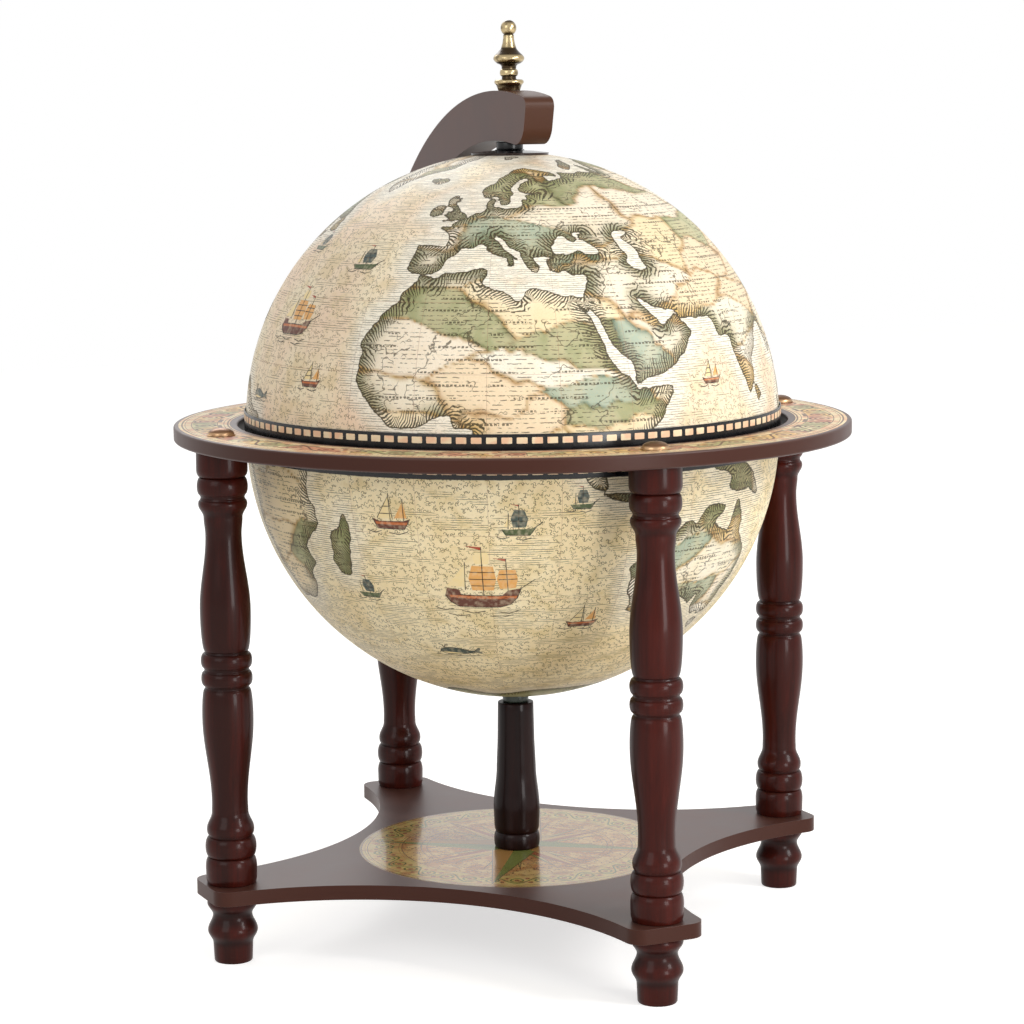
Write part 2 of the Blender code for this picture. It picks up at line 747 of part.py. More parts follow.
def build_leaf(name, on_arm, parent):
    """A leaf with its rolled knuckles, its pin hole and two countersunk screw holes.

    The outline is drawn across the pin, with the leaf towards the ring's centre.
    The arm's leaf is the same outline, turned a quarter about the pin.
    """
    face = leaf_thickness - barrel_radius
    meet = pi + asin(-face / barrel_radius)
    outline = [(-leaf_length, -barrel_radius)]
    outline += arc((0, 0), barrel_radius, -pi / 2, meet, hole_segments)
    outline.append((-leaf_length, face))
    pin_hole = circle((0, 0), bore_radius(pin_radius), hole_segments)
    reach = barrel_radius + seat_gap
    past = barrel_radius + overrun
    half = knuckle_length / 2
    outer = leaf_width / 2 + overrun
    if on_arm:
        outline = [(y, -x) for x, y in outline]
        notches = [((-outer, -past, -past), (-half, past, reach)), ((half, -past, -past), (outer, past, reach))]
    else:
        gap = half + seat_gap
        notches = [((-gap, -reach, -past), (gap, past, past))]
    turn = (pi / 2, 0, pi / 2)
    mesh = outline_mesh([outline, pin_hole], leaf_width)
    leaf = add_piece(name, mesh, (antique_brass, 0.35, 1), pin_place, parent, turn)
    for low, high in notches:
        cut(leaf, box_mesh(Vector(low) + pin_place, Vector(high) + pin_place))

    head_top = seat_gap + leaf_thickness
    rod_bore = bore_radius(leaf_screw_radius)
    head_bore = bore_radius(leaf_screw_head_radius)
    slope = (head_bore - rod_bore) / leaf_thickness
    sink = [
        (0, head_top + overrun),
        (head_bore + slope * overrun, head_top + overrun),
        (rod_bore, seat_gap),
        (rod_bore, -overrun),
        (0, -overrun),
    ]
    cut(leaf, turned_mesh(sink, hole_segments), leaf_screw_places(on_arm))
    depth = leaf_screw_length - seat_gap
    profile = [
        (0, head_top),
        (leaf_screw_head_radius, head_top),
        (leaf_screw_radius, seat_gap),
        (leaf_screw_radius, -depth),
        (0, -depth),
    ]
    turn = (-pi / 2, 0, 0) if on_arm else (0, 0, 0)
    for side, matrix in zip(("left", "right"), leaf_screw_places(on_arm)):
        screw = turned_mesh(profile, rod_segments)
        add_piece(name + "_screw_" + side, screw, (antique_brass, 0.35, 1), matrix.translation, parent, turn)


def build_hinge():
    build_leaf("hinge_leaf_ring", False, stand)
    build_leaf("hinge_leaf_arm", True, lid_axis)
    pin = cylinder_mesh(pin_radius, -leaf_width / 2, leaf_width / 2, rod_segments)
    add_piece("hinge_pin", pin, (steel_grey, 0.3, 1), pin_place, stand, (0, pi / 2, 0))


clear_scene()
parts = new_collection("globe_bar")
guides = new_collection("cutters")
bolt_bore = bore_radius(bolt_radius)
screw_sink = leg_screw_head_height + 2 * seat_gap
stand = new_axis("stand", (0, 0, 0))
lid_axis = new_axis("lid_axis", pin_place, stand)
dome_axis = new_axis("dome_axis", dome_center, lid_axis)

build_ring()
for leg_name, leg_angle in leg_angles.items():
    build_leg(leg_name, leg_angle)
    if leg_name != "back":
        build_screw_cap(leg_name, leg_angle)
    build_leg_fasteners(leg_name, leg_angle)
build_shelf()
build_column()
build_bowl()
build_bar()
build_dome()
build_arm()
build_pole()
build_hinge()
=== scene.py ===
from functools import partial, reduce
from math import asin, atan2, ceil, cos, pi, radians, sin, sqrt

import bmesh
import bpy
import numpy as np
from mathutils import Matrix, Vector, noise
from mathutils.kdtree import KDTree


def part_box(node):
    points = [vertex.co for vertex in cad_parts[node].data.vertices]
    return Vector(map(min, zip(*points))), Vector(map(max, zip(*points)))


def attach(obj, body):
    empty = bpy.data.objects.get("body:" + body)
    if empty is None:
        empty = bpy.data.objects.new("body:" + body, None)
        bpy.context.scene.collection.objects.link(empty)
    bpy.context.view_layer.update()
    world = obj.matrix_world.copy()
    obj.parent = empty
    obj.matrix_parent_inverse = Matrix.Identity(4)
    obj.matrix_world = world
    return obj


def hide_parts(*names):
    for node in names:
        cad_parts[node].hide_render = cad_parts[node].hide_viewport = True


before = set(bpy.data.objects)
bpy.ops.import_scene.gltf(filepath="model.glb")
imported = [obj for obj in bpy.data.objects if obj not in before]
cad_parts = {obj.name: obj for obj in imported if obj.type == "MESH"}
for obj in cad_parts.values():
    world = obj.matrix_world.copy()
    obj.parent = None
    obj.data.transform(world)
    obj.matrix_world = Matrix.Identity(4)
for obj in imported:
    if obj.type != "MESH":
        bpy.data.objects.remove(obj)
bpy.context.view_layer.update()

scene = bpy.context.scene
mm = 0.001
photoAzimuth = -114.8    # where the camera stands, in degrees round the globe's axis
nodeForms = {    # the setting that a second word in a node's name stands for, such as "Math SINE"
    "Math": "operation", "VectorMath": "operation", "MapRange": "interpolation_type", "Mix": "data_type",
    "VectorRotate": "rotation_type", "TexVoronoi": "voronoi_dimensions", "Attribute": "attribute_name",
    "UVMap": "uv_map",
}


def linear(code):
    # an sRGB hex colour as linear red, green, blue and alpha
    parts = [int(code[i:i + 2], 16) / 255 for i in (1, 3, 5)]
    return tuple(p / 12.92 if p <= 0.04045 else ((p + 0.055) / 1.055) ** 2.4 for p in parts) + (1,)


def addNode(tree, kind, *values, out=0, **settings):
    # adds a node, sets or links its inputs by place or by name, and gives back one of its outputs
    kind, *form = kind.split()
    made = tree.nodes.new(kind if "Node" in kind else "ShaderNode" + kind)
    for name, value in [(nodeForms[kind], word) for word in form] + list(settings.items()):
        setattr(made, name, value)
    inputs = values[0] if values and isinstance(values[0], dict) else dict(enumerate(values))
    for name, value in inputs.items():
        if isinstance(value, bpy.types.NodeSocket):
            tree.links.new(value, made.inputs[name])
        else:
            made.inputs[name].default_value = value
    return made.outputs[out]


def newFinish(name, constants):
    material = bpy.data.materials.new(name)
    material.use_nodes = True
    for socket, value in constants.items():
        material.node_tree.nodes["Principled BSDF"].inputs[socket].default_value = value
    return material, partial(addNode, material.node_tree)


def dress(material, links, height=None, depth=0.0):
    # links values to a finish, with a bump of this depth in millimetres
    tree = material.node_tree
    if height:
        links["Normal"] = addNode(tree, "Bump", {"Height": height, "Distance": depth * mm, "Strength": 1})
    for socket, value in links.items():
        tree.links.new(value, tree.nodes["Principled BSDF"].inputs[socket])
    return material


def inMillimetres(add, stretch=(1, 1, 1)):
    # the place on the piece in millimetres, squeezed along an axis where a pattern runs along it
    return add("VectorMath MULTIPLY", add("TexCoord", out="Object"), [1000 * s for s in stretch])


def grain(add, size, detail=3, warp=0.0, place=None):
    # soft noise on the piece, or on another place, about this many millimetres across and around 0.5
    return add("TexNoise", {"Vector": place or inMillimetres(add), "Scale": 1 / size, "Detail": detail,
                            "Distortion": warp}, out="Fac")


def whereAll(add, *shares, form="MULTIPLY"):
    # where all shares lie; (value, low, high) is a share of 0 at low and 1 at high, smooth between
    shares = [add("MapRange SMOOTHSTEP", *share) if isinstance(share, tuple) else share for share in shares]
    return reduce(partial(add, "Math " + form), shares)


def whereAny(add, *shares):
    return whereAll(add, *shares, form="MAXIMUM")


def penLine(add, distance, half, soft, at=0.0):
    # 1 on a line of this half width at a distance, 0 beside it
    away = add("Math ABSOLUTE", add("Math ADD", distance, -at) if at else distance)
    return whereAll(add, (away, half + soft, half - soft))


def printOver(add, under, over, *shares):
    # one colour over another where all shares lie
    under, over = (linear(color) if isinstance(color, str) else color for color in (under, over))
    return add("Mix RGBA", {0: whereAll(add, *shares), 6: under, 7: over}, out=2)


def placed(name, data):
    thing = bpy.data.objects.new(name, data)
    scene.collection.objects.link(thing)
    return thing


def applied(holder):
    # the mesh that an object's modifiers give; the object goes
    bpy.context.view_layer.update()
    mesh = bpy.data.meshes.new_from_object(holder.evaluated_get(bpy.context.evaluated_depsgraph_get()))
    bpy.data.objects.remove(holder)
    return mesh


def mark(mesh, title, values, domain="POINT"):
    # a number for each point, corner or face, that a finish reads
    mesh.attributes.new(title, "FLOAT", domain).data.foreach_set("value", np.array(values, np.float32))


def markColors(mesh, title, colors):
    # a colour for each point, that a finish reads
    layer = mesh.color_attributes.new(title, "FLOAT_COLOR", "POINT")
    layer.data.foreach_set("color", np.array(colors, np.float32).ravel())


def vectors(items, field):
    # a vector of each item, as rows
    values = np.empty(len(items) * 3)
    items.foreach_get(field, values)
    return values.reshape(-1, 3)


# The camera and the light

cameraFacts = {
    "place": (-0.7630, -1.6493, 0.5156),
    "target": (-0.0009, 0.0004, 0.2621),
    "roll": -0.61,          # degrees
    "lens": 103.37,         # millimetres, on a 36 mm sensor
}
lightFacts = {
    "sky": 0.57,
    "floor": 4.0,           # metres each way
    "floorGlow": 0.62,
    "aim": (0, 0, 0.3),
    "lamps": [    # place, width, height, power in watts
        ((1.2, -1.6, 1.45), 0.6, 0.9, 30),
        ((0.5, -2.3, 0.35), 0.6, 1.0, 21),
        ((-2.3, -1.3, 1.4), 1.5, 1.5, 16),
        ((0.3, 2.2, 2.0), 1.6, 1.0, 22),
    ],
}


def setCamera():
    camera = placed("camera", bpy.data.cameras.new("camera"))
    place = Vector(cameraFacts["place"])
    aim = (Vector(cameraFacts["target"]) - place).to_track_quat("-Z", "Y")
    camera.matrix_world = (Matrix.Translation(place) @ aim.to_matrix().to_4x4()
                           @ Matrix.Rotation(radians(cameraFacts["roll"]), 4, "Z"))
    camera.data.lens = cameraFacts["lens"]
    camera.data.sensor_width = 36
    scene.camera = camera


def setLight():
    world = bpy.data.worlds.new("studio")
    world.use_nodes = True
    scene.world = world
    tree = world.node_tree
    tree.nodes.clear()
    add = partial(addNode, tree)
    rays = add("LightPath", out="Is Camera Ray")
    seen = whereAny(add, rays, rays.node.outputs["Is Glossy Ray"], rays.node.outputs["Is Transmission Ray"])
    strength = add("MapRange", seen, 0, 1, lightFacts["sky"], 1.0)
    sky = add("Background", {"Color": (1, 1, 1, 1), "Strength": strength})
    tree.links.new(sky, tree.nodes.new("ShaderNodeOutputWorld").inputs["Surface"])
    for number, (place, width, height, power) in enumerate(lightFacts["lamps"]):
        data = bpy.data.lights.new("softbox_%d" % number, "AREA")
        data.shape = "RECTANGLE"
        data.size, data.size_y, data.energy = width, height, power
        lamp = placed(data.name, data)
        lamp.location = place
        lamp.rotation_euler = (Vector(lightFacts["aim"]) - Vector(place)).to_track_quat("-Z", "Y").to_euler()
    scene.view_settings.view_transform = "Standard"


def setFloor():
    mesh = bpy.data.meshes.new("floor")
    reach = lightFacts["floor"]
    mesh.from_pydata([(-reach, -reach, 0), (reach, -reach, 0), (reach, reach, 0), (-reach, reach, 0)], [],
                     [(0, 1, 2, 3)])
    floor = placed("floor", mesh)
    material, add = newFinish("pale_floor", {"Roughness": 0.95, "Specular IOR Level": 0.1,
                                             "Base Color": linear("#d2d0cd"), "Emission Color": (1, 1, 1, 1)})
    rays = add("LightPath", out="Is Camera Ray")
    glow = whereAll(add, whereAny(add, rays, rays.node.outputs["Is Glossy Ray"]), lightFacts["floorGlow"])
    mesh.materials.append(dress(material, {"Emission Strength": glow}))


# Shapes

def ringMesh(name, rings, closed=False, edgeAngle=38):
    # rings are (radius, height, count) in metres, down the outer side, and may differ in count
    points, loops, faces = [], [], []
    for radius, height, count in rings:
        loops.append(range(len(points), len(points) + count))
        for k in range(count):
            points.append((radius * cos(2 * pi * k / count), radius * sin(2 * pi * k / count), height))
    spans = list(zip(loops, loops[1:])) + ([(loops[-1], loops[0])] if closed else [])
    for upper, lower in spans:
        n, m = len(upper), len(lower)
        if n == m:
            faces += [(upper[k], lower[k], lower[(k + 1) % n], upper[(k + 1) % n]) for k in range(n)]
            continue
        i = j = 0
        while i < n or j < m:
            if j < m and (i >= n or (j + 1) / m <= (i + 1) / n):
                if m > 1:
                    faces.append((upper[i % n], lower[j % m], lower[(j + 1) % m]))
                j += 1
            else:
                if n > 1:
                    faces.append((upper[i % n], lower[j % m], upper[(i + 1) % n]))
                i += 1
    mesh = bpy.data.meshes.new(name)
    mesh.from_pydata(points, [], faces)
    mesh.shade_smooth()
    mesh.set_sharp_from_angle(angle=radians(edgeAngle))
    return mesh


def outline(rows, height, radius, fine=1):
    # the outer side of a turned piece, from the top down, by (height share, radius share) where it is
    # straight and (height share, radius share, form, steps) where it curves
    points = []
    for heightShare, radiusShare, *curve in rows:
        form, steps = curve or ("line", 1)
        end = (radiusShare * radius, heightShare * height)
        if not points:
            points.append(end)
            continue
        start = points[-1]
        steps = max(1, round(steps * fine))
        for step in range(1, steps + 1):
            across = along = step / steps
            turn = pi / 2 * step / steps
            if form == "swell":
                across = (1 - cos(2 * turn)) / 2
            if form == "bead" and end[0] > start[0]:
                across, along = sin(turn), 1 - cos(turn)
            if form == "bead" and end[0] <= start[0]:
                across, along = 1 - cos(turn), sin(turn)
            points.append((start[0] + (end[0] - start[0]) * across, start[1] + (end[1] - start[1]) * along))
    return points


def turned(name, points, segments, bottom=0.0, near=4.5):
    # a solid turned piece about the Z axis, with how deep each point lies in a groove as an attribute;
    # a groove is narrower than twice near, in millimetres
    mesh = ringMesh(name, [(0, points[0][1] + bottom, 1)] + [(r, z + bottom, segments) for r, z in points]
                    + [(0, points[-1][1] + bottom, 1)])
    radii, heights = np.array(points).T
    beside = np.abs(heights[:, None] - heights[None, :]) < near * mm
    depth = (np.array([radii[row].max() for row in beside]) - radii) / mm
    mark(mesh, "groove", [0, *np.repeat(depth, segments), 0])
    return mesh


def plate(name, outlines, thickness, edge, turn=None, segments=3):
    # a flat board with rounded edges; outlines after the first are its holes
    curve = bpy.data.curves.new(name, "CURVE")
    curve.dimensions = "2D"
    curve.fill_mode = "BOTH"
    curve.extrude = thickness / 2
    for points in outlines:
        spline = curve.splines.new("POLY")
        spline.points.add(len(points) - 1)
        for point, (x, y) in zip(spline.points, points):
            point.co = (x, y, 0, 1)
        spline.use_cyclic_u = True
    raw = bpy.data.objects.new(name, curve)
    mesh = bpy.data.meshes.new_from_object(raw)
    bpy.data.objects.remove(raw)
    shape = bmesh.new()
    shape.from_mesh(mesh)
    bmesh.ops.remove_doubles(shape, verts=shape.verts, dist=0.00001)
    bmesh.ops.recalc_face_normals(shape, faces=shape.faces)
    shape.to_mesh(mesh)
    shape.free()
    mesh = modified(mesh, [("BEVEL", {"width": edge, "segments": segments, "limit_method": "ANGLE",
                                      "angle_limit": radians(50), "harden_normals": True})])
    if turn:
        mesh.transform(turn)
    return mesh


def modified(mesh, steps):
    # the mesh with modifiers applied
    mesh.shade_smooth()
    holder = placed(mesh.name, mesh)
    for kind, settings in steps:
        modifier = holder.modifiers.new(kind, kind)
        for name, value in settings.items():
            setattr(modifier, name, value)
    return applied(holder)


def arc(center, radius, start, end, steps):
    angles = [start + (end - start) * step / steps for step in range(steps + 1)]
    return [(center[0] + radius * cos(a), center[1] + radius * sin(a)) for a in angles]


def corner(before, point, after, radius, steps=6):
    # points that round a corner of an outline
    point = Vector(point)
    first = (Vector(before) - point).normalized()
    second = (Vector(after) - point).normalized()
    half = first.angle(second) / 2
    reach = radius / (sin(half) / cos(half))
    center = point + (first + second).normalized() * radius / sin(half)
    start = point + first * reach - center
    end = point + second * reach - center
    angle = atan2(start.y, start.x)
    sweep = atan2(start.cross(end), start.dot(end))
    return arc(center, radius, angle, angle + sweep, steps)


def keep(name, mesh, materials, body, slotName, nodes=()):
    # a finished piece: its finish, the body that it rides on, and the solids that it stands for
    if mesh.materials:    # clearing an empty list would still reset which face has which finish
        mesh.materials.clear()
    for material in materials if isinstance(materials, list) else [materials]:
        mesh.materials.append(material)
    piece = placed(name, mesh)
    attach(piece, body)
    if nodes:
        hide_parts(*nodes)


def sizeOf(node):
    low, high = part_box(node)
    return low, high, (low + high) / 2, high - low


def ringOutline(inner, outer, bottom, top, edge, steps=5):
    # a closed profile with rounded corners, down the outer side
    profile = []
    for x, z, start in ((outer - edge, top - edge, pi / 2), (outer - edge, bottom + edge, 0),
                        (inner + edge, bottom + edge, -pi / 2), (inner + edge, top - edge, -pi)):
        profile += arc((x, z), edge, start, start - pi / 2, steps)
    return profile


def keepRing(name, profile, count, *rest):
    # a closed ring of a profile, kept
    keep(name, ringMesh(name, [(r, z, count) for r, z in profile], closed=True), *rest)


def markCut(mesh, flatAxis):
    # how far each face turns away from the board's flat sides, as the attribute "cut", which places the painted shade
    # on the edges
    mark(mesh, "cut", 1 - np.abs(vectors(mesh.polygon_normals, "vector")[:, flatAxis]), "FACE")


# Copies of a piece round the globe's axis, made by Geometry Nodes

def aroundTree():
    tree = bpy.data.node_groups.new("copiesAroundTheAxis", "GeometryNodeTree")
    for name, kind in (("Piece", "Object"), ("Count", "Int"), ("Radius", "Float"), ("Height", "Float"),
                       ("Start", "Float"), ("Step", "Float"), ("Spread", "Float"), ("Seed", "Int"),
                       ("Finish", "Material")):
        tree.interface.new_socket(name, in_out="INPUT", socket_type="NodeSocket" + kind)
    tree.interface.new_socket("Geometry", in_out="OUTPUT", socket_type="NodeSocketGeometry")
    given = tree.nodes.new("NodeGroupInput").outputs
    add = partial(addNode, tree)
    turns = add("Math MULTIPLY_ADD", add("GeometryNodeInputIndex"), given["Step"], given["Start"])
    spoke = add("CombineXYZ", {"X": given["Radius"], "Z": given["Height"]})
    place = add("VectorRotate AXIS_ANGLE", {"Vector": spoke, "Axis": (0, 0, 1), "Angle": turns})
    points = add("GeometryNodePoints", {"Count": given["Count"], "Position": place})
    piece = add("GeometryNodeObjectInfo", {"Object": given["Piece"]}, out="Geometry",
                transform_space="ORIGINAL")
    least = add("Math SUBTRACT", 1.0, given["Spread"])
    low = add("CombineXYZ", {"X": 1.0, "Y": least, "Z": least})
    size = add("FunctionNodeRandomValue", {"Min": low, "Max": (1, 1, 1), "Seed": given["Seed"]},
               data_type="FLOAT_VECTOR")
    copies = add("GeometryNodeInstanceOnPoints", {"Points": points, "Instance": piece, "Scale": size,
                                                  "Rotation": add("CombineXYZ", {"Z": turns})})
    real = add("GeometryNodeRealizeInstances", {"Geometry": copies})
    dressed = add("GeometryNodeSetMaterial", {"Geometry": real, "Material": given["Finish"]})
    tree.links.new(dressed, tree.nodes.new("NodeGroupOutput").inputs["Geometry"])
    return tree


def copiesAround(name, mesh, values, finish):
    source = placed(name + "_one", mesh)
    holder = placed(name, bpy.data.meshes.new(name))
    modifier = holder.modifiers.new("around", "NODES")
    modifier.node_group = copyTree
    values = {"Piece": source, "Height": 0.0, "Spread": 0.0, "Seed": 3, "Finish": finish, **values}
    for item in copyTree.interface.items_tree:
        if item.in_out == "INPUT":
            modifier[item.identifier] = values[item.name]
    done = applied(holder)
    bpy.data.objects.remove(source)
    done.name = name
    return done


# Finishes

def mahoganyLacquer(name, dark, middle, light, along=(1, 1, 0.03)):
    # beech stained mahogany and sprayed with gloss lacquer: deep red brown, with painted shade in the grooves
    material, add = newFinish(name, {"Roughness": 0.34, "Specular IOR Level": 0.08, "Coat Weight": 0.12,
                                     "Coat Roughness": 0.12})
    long = inMillimetres(add, along)
    pores = grain(add, 1.6, 3, 0.4, long)     # 1.6 mm apart and about 50 mm long
    tone = add("Math MULTIPLY_ADD", pores, 0.2, whereAll(add, grain(add, 12, 2, 0.0, long), 0.8))
    color = printOver(add, dark, middle, (tone, 0.36, 0.62))
    color = printOver(add, color, light, (tone, 0.56, 0.78))
    # painted shade: the deeper a groove, the darker it is painted
    color = printOver(add, color, "#160b0a", (add("Attribute groove", out="Fac"), 0.3, 2.6), 0.62)
    return dress(material, {"Base Color": color}, pores, 0.02)


def brownPaint(name, base, worn, edge, rough=(0.34, 0.44)):
    # fibreboard sprayed brown and satin: an even coat with faint orange peel, duller on the cut edges,
    # which also carry painted shade: a darker colour laid on them
    material, add = newFinish(name, {})
    cut = add("Attribute cut", out="Fac")
    cloud = grain(add, 28)
    color = printOver(add, base, worn, (cloud, 0.35, 0.7))
    color = printOver(add, color, "#2c1613", (grain(add, 0.7, 2), 0.6, 0.75), 0.25)
    # painted shade: the edge colour over the faces that turn away from the flat sides
    color = printOver(add, color, edge, cut)
    return dress(material, {"Base Color": color, "Specular IOR Level": add("MapRange", cut, 0, 1, 0.5, 0.16),
                            "Roughness": add("MapRange", cloud, 0, 1, *rough)},
                 grain(add, 1.4, 2), 0.012)    # orange peel, 1.4 mm across


def agedBrass(name, light, dark, rough=(0.18, 0.34)):
    # brass, cast and chemically darkened, then buffed: bright on the rises and brown in the hollows
    material, add = newFinish(name, {"Metallic": 1.0})
    spots = grain(add, 3.4, 2)
    hollows = whereAny(add, whereAll(add, (spots, 0.48, 0.7), 0.6),
                       (add("Attribute groove", out="Fac"), 0.4, 1.6))
    color = printOver(add, light, dark, hollows, 0.95)
    return dress(material, {"Base Color": color, "Roughness": add("MapRange", spots, 0.3, 0.7, *rough)},
                 grain(add, 0.8, 2), 0.01)


def blackPlastic(name, base, high):
    # ABS, injection moulded: near black and glossy, with a faint flow pattern
    material, add = newFinish(name, {"Specular IOR Level": 0.35})
    flow = grain(add, 9, 3, 0.8)
    color = printOver(add, base, high, (flow, 0.4, 0.65))
    return dress(material, {"Base Color": color, "Roughness": add("MapRange", flow, 0, 1, 0.2, 0.34)},
                 grain(add, 1.2, 2), 0.006)


def platedSteel(name):
    # steel, turned and zinc plated: pale grey with fine rings and dull patches
    material, add = newFinish(name, {"Metallic": 1.0})
    patches = grain(add, 4)
    color = printOver(add, "#a9abb0", "#8b8a86", (patches, 0.4, 0.65))
    return dress(material, {"Base Color": color, "Roughness": add("MapRange", patches, 0, 1, 0.25, 0.45)},
                 grain(add, 0.35, 2, place=inMillimetres(add, (0.3, 0.3, 1))), 0.01)


def creamPrint(name):
    # paper, printed and varnished: cream squares, each a little pinker or paler than the next
    material, add = newFinish(name, {"Roughness": 0.34, "IOR": 1.45})
    color = printOver(add, "#efd9b4", "#ecc09c", (grain(add, 9, 1), 0.42, 0.58))
    color = printOver(add, color, "#d9bd92", (grain(add, 0.6), 0.5, 0.8), 0.35)
    return dress(material, {"Base Color": color})


# The map: plain coastlines of common geography, in degrees of longitude and latitude

